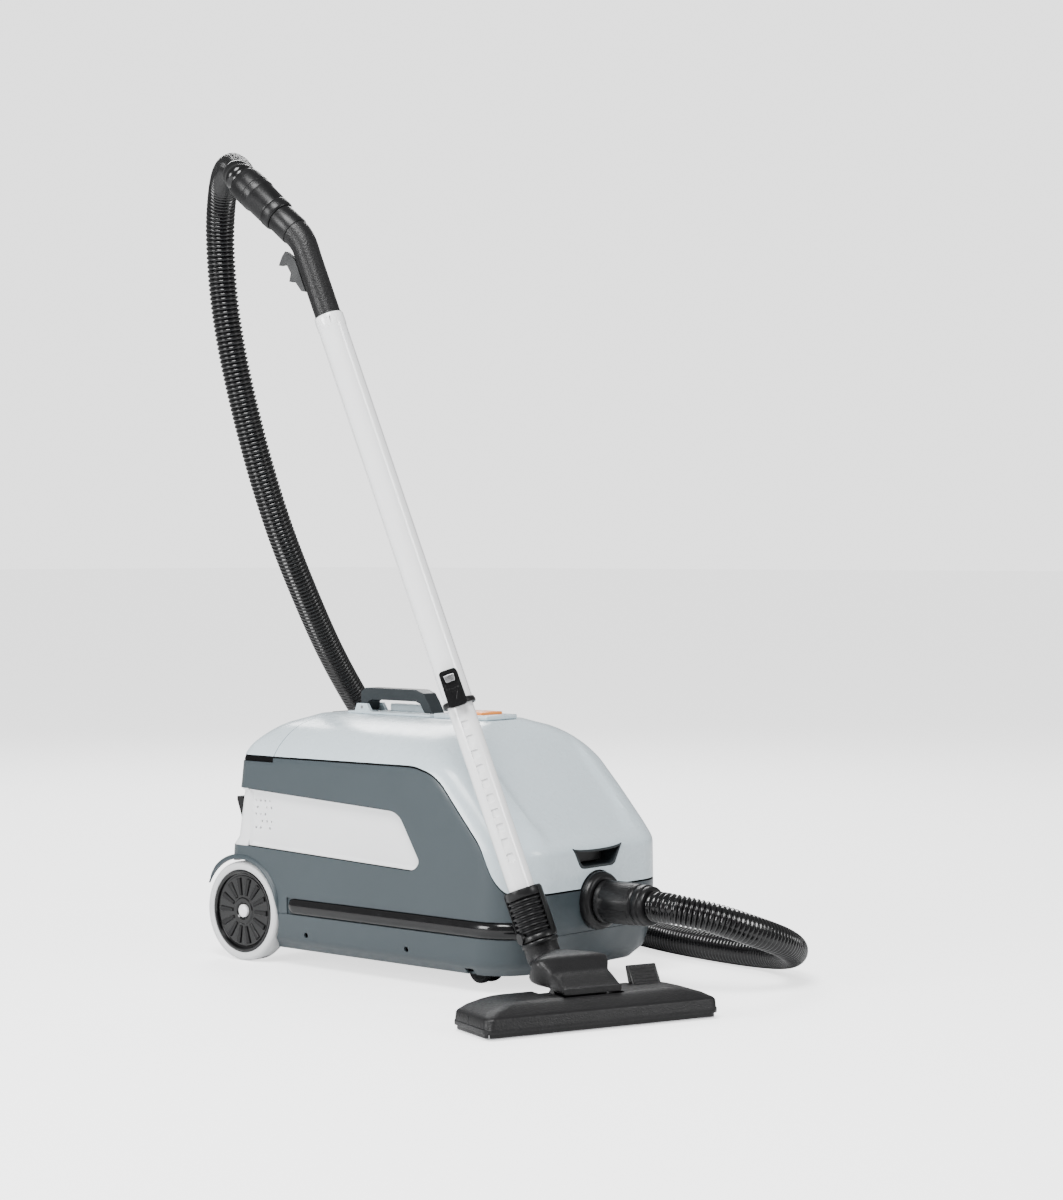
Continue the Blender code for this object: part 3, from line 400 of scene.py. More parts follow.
def rod(name, start, end, radius, sides=32, turn=None):
    start, end = Vector(start), Vector(end)
    ring = [(radius * math.cos(2 * math.pi * k / sides), radius * math.sin(2 * math.pi * k / sides))
            for k in range(sides)]
    frame_of = along(start, end - start)
    full = frame_of if turn is None else turn @ frame_of
    return prism(name, ring, "Z", 0.0, (end - start).length, full)


def rounded(points, radius, steps=4, closed_loop=True):
    """The outline with each corner turned into a small curve."""
    out = []
    count = len(points)
    for i, p in enumerate(points):
        p = Vector(p)
        if not closed_loop and i in (0, count - 1):
            out.append(tuple(p))
            continue
        a, b = Vector(points[i - 1]) - p, Vector(points[(i + 1) % count]) - p
        reach = min(radius, 0.45 * a.length, 0.45 * b.length)
        start, end = p + a.normalized() * reach, p + b.normalized() * reach
        for k in range(steps + 1):
            t = k / steps
            out.append(tuple(start * (1 - t) ** 2 + p * 2 * t * (1 - t) + end * t * t))
    return out


def evaluated(obj):
    bpy.context.view_layer.update()
    view = obj.evaluated_get(bpy.context.evaluated_depsgraph_get())
    return bpy.data.meshes.new_from_object(view)


def cut(obj, *cutters, operation="DIFFERENCE"):
    for other in cutters:
        mod = obj.modifiers.new("cut", "BOOLEAN")
        mod.operation = operation
        mod.solver = "EXACT"
        mod.object = other
        mesh = evaluated(obj)
        obj.modifiers.clear()
        obj.data = mesh
        bpy.data.objects.remove(other, do_unlink=True)
    return obj


def joined(name, objects):
    """Several meshes as one piece."""
    bm = bmesh.new()
    for obj in objects:
        mesh = evaluated(obj)
        mesh.transform(obj.matrix_world)
        bm.from_mesh(mesh)
        bpy.data.objects.remove(obj, do_unlink=True)
    mesh = bpy.data.meshes.new(name)
    bm.to_mesh(mesh)
    bm.free()
    obj = bpy.data.objects.new(name, mesh)
    bpy.context.scene.collection.objects.link(obj)
    return obj


def soften(obj, width, segments=2, angle=32):
    bevel = obj.modifiers.new("edges", "BEVEL")
    bevel.width = width
    bevel.segments = segments
    bevel.limit_method = "ANGLE"
    bevel.angle_limit = math.radians(angle)
    bevel.harden_normals = True
    return obj


def piece(obj, look, body, slot, *nodes, edge=0.0, segments=2, angle=32):
    """Gives a made piece its material, shading and body, and hides the CAD nodes it stands in for. The slot
    is not used.
    """
    obj.data.materials.clear()
    obj.data.materials.append(M[look])
    obj.data.shade_smooth()
    obj.data.set_sharp_from_angle(angle=math.radians(angle))
    if edge:
        soften(obj, edge, segments, angle)
    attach(obj, body)
    if nodes:
        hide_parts(*nodes)
    return obj


def dress(look, *nodes, edge=0.0006, segments=2, angle=32):
    """A CAD node that stays: its own shape with rounded edges and a finished material."""
    for name in nodes:
        obj = NODES[name]
        mesh = obj.data
        for layer in ("custom_normal", "sharp_face", "sharp_edge"):
            if layer in mesh.attributes:
                mesh.attributes.remove(mesh.attributes[layer])
        mesh.materials.clear()
        mesh.materials.append(M[look])
        weld = obj.modifiers.new("weld", "WELD")
        weld.merge_threshold = 0.00001
        flat = obj.modifiers.new("flat", "DECIMATE")
        flat.decimate_type = "DISSOLVE"
        flat.angle_limit = math.radians(1.0)
        mesh.shade_smooth()
        if edge:
            soften(obj, edge, segments, angle)
        split = obj.modifiers.new("sharp", "EDGE_SPLIT")
        split.split_angle = math.radians(angle + 8)


def mirrored(name, obj):
    mesh = obj.data.copy()
    mesh.transform(Matrix.Translation((2 * MACHINE.x, 0, 0)) @ Matrix.Scale(-1, 4, (1, 0, 0)))
    mesh.flip_normals()
    other = bpy.data.objects.new(name, mesh)
    bpy.context.scene.collection.objects.link(other)
    return other


def ease(t):
    t = min(max(t, 0.0), 1.0)
    return t * t * (3 - 2 * t)


def spline(points, i, t):
    """A point between the i-th point and the next, on a smooth curve through them all."""
    p0, p1, p2, p3 = points[max(i - 1, 0)], points[i], points[i + 1], points[min(i + 2, len(points) - 1)]
    curved = (2 * p0 - 5 * p1 + 4 * p2 - p3) * t**2 + (3 * p1 - p0 - 3 * p2 + p3) * t**3
    return 0.5 * (2 * p1 + (p2 - p0) * t + curved)


def arc_ring(outer, inner, start, end, steps, z):
    """The outline of a bent slat between two angles."""
    turns = [start + (end - start) * j / steps for j in range(steps + 1)]
    ring = [(outer * math.cos(a), outer * math.sin(a), z) for a in turns]
    return ring + [(inner * math.cos(a), inner * math.sin(a), z) for a in reversed(turns)]


# ---------------------------------------------------------------- body form
FRONT_STEPS, REAR_STEPS, FRONT_SPANS, SIDE_SPANS = 18, 8, 18, 4
ROW_HEIGHT = 0.005
PANEL_HALF, PANEL_DEPTH, PANEL_EDGE = 0.0965, 0.0042, 0.0065


def section_at(z):
    for low, high in zip(SECTIONS, SECTIONS[1:]):
        if z <= high[0]:
            t = max(0.0, (z - low[0]) / (high[0] - low[0]))
            return [a + (b - a) * t for a, b in zip(low[1:], high[1:])]
    return list(SECTIONS[-1][1:])


def section(z):
    """The plan at a height, with the creases between stations eased over a few millimetres."""
    reach = 0.0015 if z < 0.15 else 0.005
    near = [section_at(z + reach * k / 3) for k in range(-3, 4)]
    return [sum(column) / len(near) for column in zip(*near)]


def plan(z, inset):
    half, front, rear, front_r, rear_r = section(z)
    half, front, rear = half - inset, front + inset, rear - inset
    front_r, rear_r = max(front_r - inset, 0.004), max(rear_r - inset, 0.004)
    corners = (
        (half - rear_r, rear - rear_r, rear_r, 0, REAR_STEPS, FRONT_SPANS // 3),
        (-half + rear_r, rear - rear_r, rear_r, 90, REAR_STEPS, SIDE_SPANS),
        (-half + front_r, front + front_r, front_r, 180, FRONT_STEPS, FRONT_SPANS),
        (half - front_r, front + front_r, front_r, 270, FRONT_STEPS, SIDE_SPANS),
    )
    arcs = []
    for x, y, radius, start, steps, _ in corners:
        turn = [math.radians(start + 90 * k / steps) for k in range(steps + 1)]
        arcs.append([(x + radius * math.cos(a), y + radius * math.sin(a)) for a in turn])
    points = []
    for i, arc in enumerate(arcs):
        points += arc
        after, spans = arcs[(i + 1) % 4][0], corners[i][5]
        for k in range(1, spans):
            t = k / spans
            points.append((arc[-1][0] * (1 - t) + after[0] * t, arc[-1][1] * (1 - t) + after[1] * t))
    return points


def panel_depth(x, y, z):
    """How far the hood's front panel lies behind the form round it."""
    if y > -0.10:
        return 0.0
    half = PANEL_HALF - 0.012 * ease((0.228 - z) / 0.045)
    ends = ease((z - 0.180) / 0.014) * ease((0.318 - z) / 0.035)
    return PANEL_DEPTH * ease((half - abs(x)) / PANEL_EDGE) * ends


def form(name, low, high, inset=0.0, drop=0.0, panel=False):
    """The body's outer form between two heights, as a closed solid in machine axes."""
    rows = max(2, round((high - low) / ROW_HEIGHT))
    rings = []
    for k in range(rows + 1):
        z = low + (high - low) * k / rows
        ring = []
        for x, y in plan(z, inset):
            ring.append(Vector((x, y + (1.35 * panel_depth(x, y, z) if panel else 0.0), z - drop)))
        rings.append(ring)
    return loft(name, rings)


def above_split(name, lift, low_y=-0.5, high_y=0.5):
    """A wide block over the lid line, between two y planes."""
    line = rounded(SPLIT, 0.012, 5, False)
    inside = [(y, z) for y, z in line if low_y < y < high_y]
    ends = []
    for edge in (low_y, high_y):
        for (y0, z0), (y1, z1) in zip(line, line[1:]):
            if y0 <= edge <= y1:
                ends.append((edge, z0 + (z1 - z0) * (edge - y0) / (y1 - y0)))
    first = ends[0] if low_y > line[0][0] else (low_y, line[0][1])
    last = ends[-1] if high_y < line[-1][0] else (high_y, line[-1][1])
    shape = [(y, z + lift) for y, z in [first, *inside, last]]
    return prism(name, shape + [(high_y, 0.5), (low_y, 0.5)], "X", -0.3, 0.3)


def well_drum(side):
    x0, x1 = sorted((side * WELL_X, side * 0.18))
    return rod("drum", (x0, WHEEL.y, WHEEL.z), (x1, WHEEL.y, WHEEL.z), WELL_R, 64)


def strip_outline(grow):
    """The side panel: blunt at the rear, a slanted round nose at the front."""
    points = (
        (BAND_Y + 0.002 + grow, BAND_Z[0] - grow),
        (BAND_Y + 0.002 + grow, BAND_Z[1] + grow),
        (-0.1190, 0.2172 + grow),
        (-0.1570 - grow, 0.1555),
        (-0.1450, 0.1438 - grow),
    )
    nose = [p for p in rounded(points, 0.016, 6) if p[0] < 0.10]
    return [points[0], points[1]] + nose


def place(obj):
    obj.data.transform(to_machine())
    return obj


def both_sides(obj, stem, look, slot, node=None, **shading):
    """Finishes a left piece on the machine, and its mirror image on the right."""
    place(obj)
    for each, side in ((obj, "left"), (mirrored(stem + "_right", obj), "right")):
        piece(each, look, "machine", slot, *([f"{node}_{side}"] if node else []), **shading)


def inlet_bore(radius, back, sides):
    return rod("bore", INLET - Vector((0, 0.03, 0)), INLET + Vector((0, back, 0)), radius, sides)


def housing():
    obj = form("housing_shell", SEAM_Z, TOP_Z)
    cut(obj, form("inner", 0.050, TOP_Z + 0.001, WALL))
    cut(obj, above_split("above", 0.0))
    step = block("step", (-0.3, SEAM_Y, CAP_STEP), (0.3, 0.3, 0.4))
    cut(obj, step, well_drum(-1), well_drum(1))
    cut(obj, inlet_bore(0.0271, 0.03, 48))
    low, high = BUMPER_Z
    for side in (-1, 1):
        groove = form("groove", low - 0.01, high + 0.0006, -0.010)
        cut(groove, form("core", 0.05, 0.12, 0.0022))
        x0, x1 = sorted((side * (BUMPER_FRONT - 0.0006), side * 0.3))
        room = block("room", (x0, -0.5, 0.0), (x1, BUMPER_REAR + 0.0006, 0.2))
        cut(groove, room, operation="INTERSECT")
        cut(obj, groove)
        x0, x1 = sorted((side * 0.12, side * 0.17))
        cut(obj, prism("window", strip_outline(0.0), "X", x0, x1))
    band = block("band", (-0.2, BAND_Y, BAND_Z[0]), (0.2, 0.25, BAND_Z[1]))
    cut(obj, band)
    piece(place(obj), "slate", "machine", "slate", "housing", edge=0.0007)


def band_panel():
    """The pale waist round the rear, with the battery bay's mouth in it."""
    low, high = BAND_Z
    levels = ((low, 0.0004), (low + 0.0105, 0.0060), (high - 0.0045, 0.0060), (high, 0.0004))
    outer, inner = [], []
    for z, inset in levels:
        outer.append([Vector((x, y, z)) for x, y in plan(z, inset)])
        inner.append([Vector((x, y, z)) for x, y in plan(z, inset + 0.0025)])
    obj = loft("rear_waist_panel", outer)
    inner[0] = [p - Vector((0, 0, 0.002)) for p in inner[0]]
    inner[-1] = [p + Vector((0, 0, 0.002)) for p in inner[-1]]
    cut(obj, loft("inner", inner))
    cut(obj, block("ahead", (-0.3, -0.5, 0.1), (0.3, BAND_Y + 0.0023, 0.3)))
    cut(obj, block("bay", (-0.1015, 0.16, 0.1485), (0.1015, 0.22, 0.2160)))
    piece(place(obj), "frosted", "machine", "side_panel", edge=0.0004)


def side_panels():
    """Frosted side panels: a dish with slanted walls, and air holes near the rear."""
    reach = 0.155 - WALL - 0.0003
    outer, inner = reach - 0.0003, reach - 0.0085
    obj = prism("side_panel_left", strip_outline(0.004), "X", -outer, -inner)
    near = [Vector((-(reach - 0.0040), y, z)) for y, z in strip_outline(-0.0055)]
    far = [Vector((-(reach + 0.002), y, z)) for y, z in strip_outline(0.0010)]
    cut(obj, loft("dish", (near, far)))
    holes = []
    for row, z in enumerate((0.2145, 0.2055, 0.1965, 0.1875, 0.1785)):
        for k in range(4):
            if (row * 3 + k) % 5 == 4:
                continue
            y = 0.1475 - 0.0088 * k - 0.0030 * (row % 2)
            size = 0.0017 if (row + k) % 3 else 0.0012
            holes.append(rod("hole", (-0.16, y, z), (-0.13, y, z), size, 14))
    cut(obj, joined("holes", holes))
    cut(obj, block("behind", (-0.2, BAND_Y + 0.0016, 0.1), (0.0, 0.3, 0.3)))
    both_sides(obj, "side_panel", "frosted", "side_panel", "side_strip", edge=0.0004)
    rim = strip_outline(0.0)
    # A thin near-black frame round the panel's edge: painted shade in the gap between panel and housing.
    line = prism("panel_rim_left", strip_outline(0.0008), "X", -(0.155 - 0.0006), -(0.155 - 0.0040))
    cut(line, prism("inside", strip_outline(-0.0007), "X", -0.16, -0.14))
    cut(line, block("behind", (-0.2, rim[0][0] - 0.003, 0.1), (0.0, 0.3, 0.3)))
    both_sides(line, "panel_gap_shade", "shade_fill", "black")


def chassis():
    obj = form("chassis_pan", BASE_Z, SEAM_Z - 0.0006)
    cut(obj, form("inner", BASE_Z + SHELL, 0.12, SHELL))
    cut(obj, well_drum(-1), well_drum(1))
    for side in (-1, 1):
        at = Vector((side * CASTER.x, CASTER.y, 0))
        cut(obj, rod("room", at, at + UP * 0.049, 0.0315, 48))
        x0, x1 = sorted((side * 0.14, side * 0.16))
        for y in (0.0495, -0.1297):
            cut(obj, rod("hole", (x0, y, 0.0446), (x1, y, 0.0446), 0.0036, 20))
    lip = prism("foot_notch", ((-0.236, 0.0), (-0.222, 0.0), (-0.222, 0.030), (-0.236, 0.030)), "X",
                -0.148, -0.132)
    cut(obj, lip)
    piece(place(obj), "slate", "machine", "slate", "chassis", edge=0.0008)
    for side, name in SIDES:
        at = Vector((side * CASTER.x, CASTER.y, 0))
        cup = ((0.0318, BASE_Z + 0.001), (0.0345, BASE_Z + 0.001), (0.0345, 0.0525), (0.0044, 0.0525),
               (0.0044, 0.0492), (0.0318, 0.0492))
        # The cups wear the darker slate copy: painted shade under the body.
        piece(lathe("caster_cup_" + name, cup, to_machine() @ Matrix.Translation(at)), "dark_slate_and_shade",
              "machine", "slate")


def wheel_arches():
    """The drums round the rear wheels, and the lip that stands out over each tyre."""
    profile = ((WELL_R, 0.1185), (WELL_R + 0.0030, 0.1155), (WELL_R + 0.0030, 0.175), (WELL_R, 0.175))
    left = Matrix.Translation(WHEEL) @ Matrix.Rotation(math.radians(-90), 4, "Y")
    drum = lathe("wheel_well_left", profile, left, 72)
    disc = rod("disc", (-0.1185, WHEEL.y, WHEEL.z), (-0.1155, WHEEL.y, WHEEL.z), WELL_R + 0.0029, 72)
    cut(drum, disc, operation="UNION")
    cut(drum, form("outer", BASE_Z + 0.0005, 0.15, 0.0008), operation="INTERSECT")
    # The drums wear the darker slate copy: painted shade inside the wheel arches.
    both_sides(drum, "wheel_well", "dark_slate_and_shade", "slate")
    rings = []
    steps = 44
    for k in range(steps + 1):
        t = k / steps
        a = math.radians(28 + 150 * t)
        proud = 0.0026 * ease(min(t, 1 - t) / 0.10)
        wide = 0.0016 + 0.0046 * ease(min(t, 1 - t) / 0.16)
        ring = []
        for out, x in ((0.0, 0.1532), (0.0, 0.1550 + proud), (wide * 0.55, 0.1552 + proud),
                       (wide, 0.1550), (wide, 0.1532)):
            r = WELL_R + 0.0003 + out
            ring.append((-x, WHEEL.y + r * math.cos(a), WHEEL.z + r * math.sin(a)))
        rings.append(ring)
    both_sides(loft("wheel_arch_lip_left", rings), "wheel_arch_lip", "slate", "slate", angle=50)


def bumpers():
    """Half-round strips from ahead of the wheels to the front corners."""
    low, high = BUMPER_Z
    middle, half = (low + high) / 2, (high - low) / 2 - 0.0005
    path = []
    for x, y in plan(middle, 0.0):
        if x < -BUMPER_FRONT and y < BUMPER_REAR - 0.002:
            path.append(Vector((x, y, 0)))
    path.sort(key=lambda p: (-p.y if p.x < -0.1549 else 0.3 + 0.3 * (0.155 + p.x)))
    path = [Vector((-0.155, BUMPER_REAR - 0.0006, 0))] + path
    fine = []
    for a, b in zip(path, path[1:]):
        count = max(1, round((b - a).length / 0.006))
        fine += [a.lerp(b, k / count) for k in range(count)]
    fine.append(path[-1])
    rings = []
    run = 0.0
    total = sum((b - a).length for a, b in zip(fine, fine[1:]))
    for i, p in enumerate(fine):
        if i:
            run += (p - fine[i - 1]).length
        ahead = (fine[min(i + 1, len(fine) - 1)] - fine[max(i - 1, 0)]).normalized()
        out = ahead.cross(UP)
        if out.x > 0 and p.x < 0:
            out = -out
        end = math.sqrt(max(0.0, 1 - max(0.0, 1 - min(run, total - run) / half) ** 2))
        ring = []
        for k in range(13):
            a = math.radians(-90 + 15 * k)
            swell = -0.0018 + 0.0052 * math.cos(a) * max(end, 0.05)
            ring.append(p + out * swell + UP * (middle + half * max(end, 0.05) * math.sin(a)))
        rings.append(ring)
    both_sides(loft("bumper_strip_left", rings), "bumper_strip", "black_gloss", "black", "bumper", angle=60)


def latch_shape(grow):
    wide, narrow, high, low = 0.048 + grow * 1.3, 0.033 + grow, 0.1762 + grow, 0.1490 - grow
    arch = [(-wide, high), (-narrow, low), (narrow, low), (wide, high)]
    turn = [math.pi * k / 8 for k in range(1, 8)]
    top = [(wide * math.cos(a), high - 0.0042 * math.sin(a)) for a in turn]
    return rounded(arch, 0.007, 4, False) + top


def hood():
    obj = form("hood_shell", 0.10, TOP_Z, panel=True)
    cut(obj, above_split("keep", LID_GAP, -0.5, SEAM_Y - 0.0007), operation="INTERSECT")
    cut(obj, form("inner", 0.09, TOP_Z, SHELL + 0.0045, SHELL))
    cut(obj, inlet_bore(0.0382, 0.06, 64))
    cut(obj, prism("opening", latch_shape(0.0), "Y", -0.34, -0.28))
    piece(place(obj), "pale", "hood", "pale", "hood", edge=0.0009)
    surround = prism("latch_surround", latch_shape(-0.0003), "Y", -0.3168, -0.2905)
    cut(surround, prism("inside", latch_shape(-0.0030), "Y", -0.33, -0.2925))
    piece(place(surround), "dark_slate_and_shade", "hood", "graphite", "latch_frame", edge=0.0006)
    # A near-black sheet at the back of the latch opening: painted shade of the recess.
    back = prism("latch_recess_shade_sheet", latch_shape(-0.0030), "Y", -0.2925, -0.2900)
    piece(place(back), "shade_fill", "hood", "graphite")
    pull = block("latch_pull", (-0.0270, -0.2995, 0.1548), (0.0270, -0.2966, 0.1702))
    piece(place(pull), "black", "latch", "black", "hood_latch", edge=0.0010)


def rear_cap():
    obj = form("rear_cap_shell", 0.20, TOP_Z)
    cut(obj, above_split("keep", LID_GAP, SEAM_Y + 0.0007, 0.5), operation="INTERSECT")
    cut(obj, form("inner", 0.19, TOP_Z, SHELL, SHELL))
    release_low, release_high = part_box("filter_release")
    middle = (release_low + release_high) / 2 - MACHINE
    pocket = block("pocket", (-0.0154, -0.0169, -0.006), (0.0154, 0.0169, 0.010))
    pocket.data.transform(Matrix.Translation(middle) @ Matrix.Rotation(math.radians(-26), 4, "X"))
    cut(obj, pocket)
    piece(place(obj), "pale", "rear_cap", "pale", "rear_cap", edge=0.0009)


def lid_seam_shade():
    """The near-black band that shows between the housing and the lids: painted shade in the seam."""
    obj = form("lid_gap_shade_band", 0.10, 0.30, 0.0009)
    cut(obj, form("inner", 0.09, 0.31, 0.0060))
    cut(obj, above_split("keep", -0.004), operation="INTERSECT")
    cut(obj, above_split("above", LID_GAP - 0.0004))
    cut(obj, inlet_bore(0.0378, 0.06, 48))
    piece(place(obj), "shade_fill", "machine", "black")
    # A near-black ring under the rear cap's step: painted shade below its edge.
    ledge = form("cap_step_shade", CAP_STEP + 0.0002, 0.2727, 0.0012)
    cut(ledge, form("inner", 0.26, 0.28, 0.0075))
    cut(ledge, block("ahead", (-0.3, -0.5, 0.2), (0.3, SEAM_Y - 0.012, 0.3)))
    piece(place(ledge), "shade_fill", "machine", "black", edge=0.0004)


# ---------------------------------------------------------------- wheels
def wheels():
    for side, name in SIDES:
        body = "wheel_" + name
        turn = to_machine() @ along(WHEEL, Vector((side, 0, 0)))
        tread = [(0.0551, 0.1250), (0.0610, 0.1243), (0.0645, 0.1258), (0.0660, 0.1290), (0.0660, 0.1480),
                 (0.0655, 0.1512), (0.0640, 0.1534), (0.0615, 0.1544), (0.0575, 0.1542), (0.0551, 0.1528)]
        piece(lathe("tyre_rubber_" + name, tread, turn, 96), "rubber", body, "tyre_grey", "tyre_" + name,
              angle=40)
        rim = [(0.0043, 0.1270), (0.0546, 0.1260), (0.0546, 0.1524), (0.0533, 0.1534), (0.0512, 0.1534),
               (0.0498, 0.1522), (0.0492, 0.1490), (0.0470, 0.1486), (0.0462, 0.1496), (0.0180, 0.1502),
               (0.0165, 0.1515), (0.0118, 0.1515), (0.0105, 0.1500), (0.0090, 0.1480), (0.0043, 0.1480)]
        disc = lathe("wheel_rim_" + name, rim, turn, 96)
        piece(disc, "black_gloss", body, "black", "wheel_disc_" + name, angle=35)
        ribs = []
        for k in range(14):
            rib = prism("rib", ((0.0205, -0.0022), (0.0440, -0.0036), (0.0440, 0.0036), (0.0205, 0.0022)),
                        "Z", 0.1490, 0.1516)
            rib.data.transform(turn @ Matrix.Rotation(2 * math.pi * k / 14, 4, "Z"))
            ribs.append(rib)
        piece(joined("wheel_spokes_" + name, ribs), "black", body, "black", edge=0.0007)
        dome = [(0.0, 0.1540), (0.0035, 0.1538), (0.0066, 0.1530), (0.0084, 0.1515), (0.0086, 0.1484),
                (0.0, 0.1484)]
        piece(lathe("hub_cap_" + name, dome, turn, 40), "white", body, "side_panel", "wheel_cap_" + name,
              angle=40)


def casters():
    dress("grey", "caster_fork_left", "caster_fork_right", edge=0.0008)
    for side, name in SIDES:
        low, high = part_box("caster_wheels_" + name)
        turn = along((low + high) / 2, Vector((1, 0, 0)))
        spool = [(0.0, -0.0150), (0.0110, -0.0150), (0.0125, -0.0142), (0.0150, -0.0150), (0.0170, -0.0138),
                 (0.0175, -0.0115), (0.0175, -0.0070), (0.0166, -0.0046), (0.0020, -0.0046)]
        profile = spool + [(r, -z) for r, z in reversed(spool)]
        piece(lathe("caster_tread_" + name, profile, turn, 48), "graphite", "caster_roll_" + name,
              "graphite", "caster_wheels_" + name, angle=40)


# ---------------------------------------------------------------- hose
def smooth_route():
    """Points a rib's fifth apart on a smooth curve through the route, in the row frame."""
    start = Vector(HOSE_ROUTE[0])
    end = BEND - MACHINE + GRIP_DIR * GRIP_END
    points = [start, start + Vector((0, -HOSE_LEAD, 0))] + [Vector(p) for p in HOSE_ROUTE[1:]]
    points += [end + GRIP_DIR * HOSE_LEAD, end]
    fine = [spline(points, i, k / 16) + MACHINE for i in range(len(points) - 1) for k in range(16)]
    fine.append(points[-1] + MACHINE)
    run = [0.0]
    for a, b in zip(fine, fine[1:]):
        run.append(run[-1] + (b - a).length)
    count = round(run[-1] / HOSE_PITCH) * len(RIB)
    out, i = [], 0
    for k in range(count + 1):
        want = run[-1] * k / count
        while i < len(run) - 2 and run[i + 1] < want:
            i += 1
        out.append(fine[i].lerp(fine[i + 1], (want - run[i]) / (run[i + 1] - run[i])))
    return out


RIB = (0.0168, 0.0181, 0.0191, 0.0191, 0.0181)
HOSE_SIDES = 26
# Where each stretch of hose ends, as a share of its length, and the bodies it lies between
HOSE_SPANS = (
    (0.455, "machine", None),
    (0.565, "machine", "floor_head"),
    (0.670, "floor_head", "neck"),
    (0.780, "neck", "lower_wand"),
    (0.890, "lower_wand", "upper_wand"),
    (1.000, "upper_wand", None),
)


def hose(cuffs):
    points = smooth_route()
    turns = []
    side = Vector((1, 0, 0))
    for i, p in enumerate(points):
        ahead = (points[min(i + 1, len(points) - 1)] - points[max(i - 1, 0)]).normalized()
        side = (side - side.dot(ahead) * ahead).normalized()
        turns.append((side.copy(), ahead.cross(side)))
    last = len(points) - 1
    start = 0
    for number, (share, body, beyond) in enumerate(HOSE_SPANS, 1):
        stop = min(last, round(share * last / len(RIB)) * len(RIB))
        rings = []
        for i in range(start, stop + 1):
            across, up = turns[i]
            ring = []
            for k in range(HOSE_SIDES):
                a = 2 * math.pi * k / HOSE_SIDES
                ring.append(points[i] + (across * math.cos(a) + up * math.sin(a)) * RIB[i % len(RIB)])
            rings.append(ring)
        name = f"hose_stretch_{number}"
        obj = loft(name, rings)
        obj.data.materials.append(M["hose"])
        obj.data.shade_smooth()
        obj.data.set_sharp_from_angle(angle=math.radians(75))
        if beyond:
            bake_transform(obj)
        else:
            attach(obj, body)
        if number == 1:
            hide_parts("hose")
        start = stop


def inlet_and_cuffs():
    """The inlet collar on the machine and the two cuffs on the hose's ends."""
    back = to_machine() @ along(INLET, Vector((0, 1, 0)))
    collar = [(0.0236, -0.0112), (0.0285, -0.0122), (0.0318, -0.0118), (0.0345, -0.0100), (0.0360, -0.0072),
              (0.0366, -0.0038), (0.0366, -0.0003), (0.0268, -0.0003), (0.0268, 0.0270), (0.0236, 0.0270)]
    piece(lathe("inlet_collar", collar, back, 72), "black", "machine", "black", "inlet_flange", angle=40)
    cuff = [(0.0170, -0.0878), (0.0205, -0.0878), (0.0232, -0.0872), (0.0242, -0.0858), (0.0242, -0.0800),
            (0.0252, -0.0792), (0.0256, -0.0780), (0.0256, -0.0715), (0.0250, -0.0702), (0.0244, -0.0694),
            (0.0253, -0.0684), (0.0259, -0.0664), (0.0262, -0.0300), (0.0260, -0.0175), (0.0268, -0.0165),
            (0.0268, -0.0132), (0.0228, -0.0128), (0.0228, 0.0190), (0.0170, 0.0190)]
    lower = piece(lathe("inlet_cuff_shell", cuff, back, 72), "black", "inlet_cuff", "black", "cuff_bottom",
                  angle=40)
    pads = []
    for k in range(4):
        a0, a1 = math.radians(90 * k + 14), math.radians(90 * k + 76)
        rings = []
        for z in (-0.0630, -0.0600, -0.0230, -0.0200):
            r = 0.0266 if -0.0620 < z < -0.0210 else 0.0262
            rings.append(arc_ring(r, 0.0255, a0, a1, 12, z))
        pads.append(loft("pad", rings, back))
    grip = piece(joined("inlet_cuff_grip", pads), "grained", "inlet_cuff", "black", angle=40)
    turn = along(BEND, GRIP_DIR)
    upper = [(0.0150, 0.0443), (0.0196, 0.0443), (0.0206, 0.0452), (0.0212, 0.0470), (0.0216, 0.0556),
             (0.0212, 0.0572), (0.0205, 0.0580), (0.0205, 0.0600), (0.0212, 0.0615), (0.0215, 0.0835),
             (0.0226, 0.0852), (0.0229, 0.0872), (0.0229, 0.0930), (0.0221, 0.0938), (0.0221, 0.0956),
             (0.0229, 0.0964), (0.0229, 0.1085), (0.0222, 0.1120), (0.0215, 0.1160), (0.0150, 0.1160)]
    top = piece(lathe("handle_cuff_shell", upper, turn, 72), "black", "handle_cuff", "black", "cuff_top",
                angle=40)
    return {1: [lower, grip], len(HOSE_SPANS): [top]}


# ---------------------------------------------------------------- wand and handle
def on_wand(t):
    return WAND + WAND_DIR * t


CLIP_SIDE = Vector((-0.757, -0.653, 0.0))


def clip_turn():
    """The wand's axes, with +Y out through the clip."""
    out = (CLIP_SIDE - CLIP_SIDE.dot(WAND_DIR) * WAND_DIR).normalized()
    turn = Matrix((out.cross(WAND_DIR), out, WAND_DIR)).transposed().to_4x4()
    turn.translation = WAND
    return turn


NOTCHES, NOTCH_PITCH, NOTCH_START = 10, 0.0187, 0.034


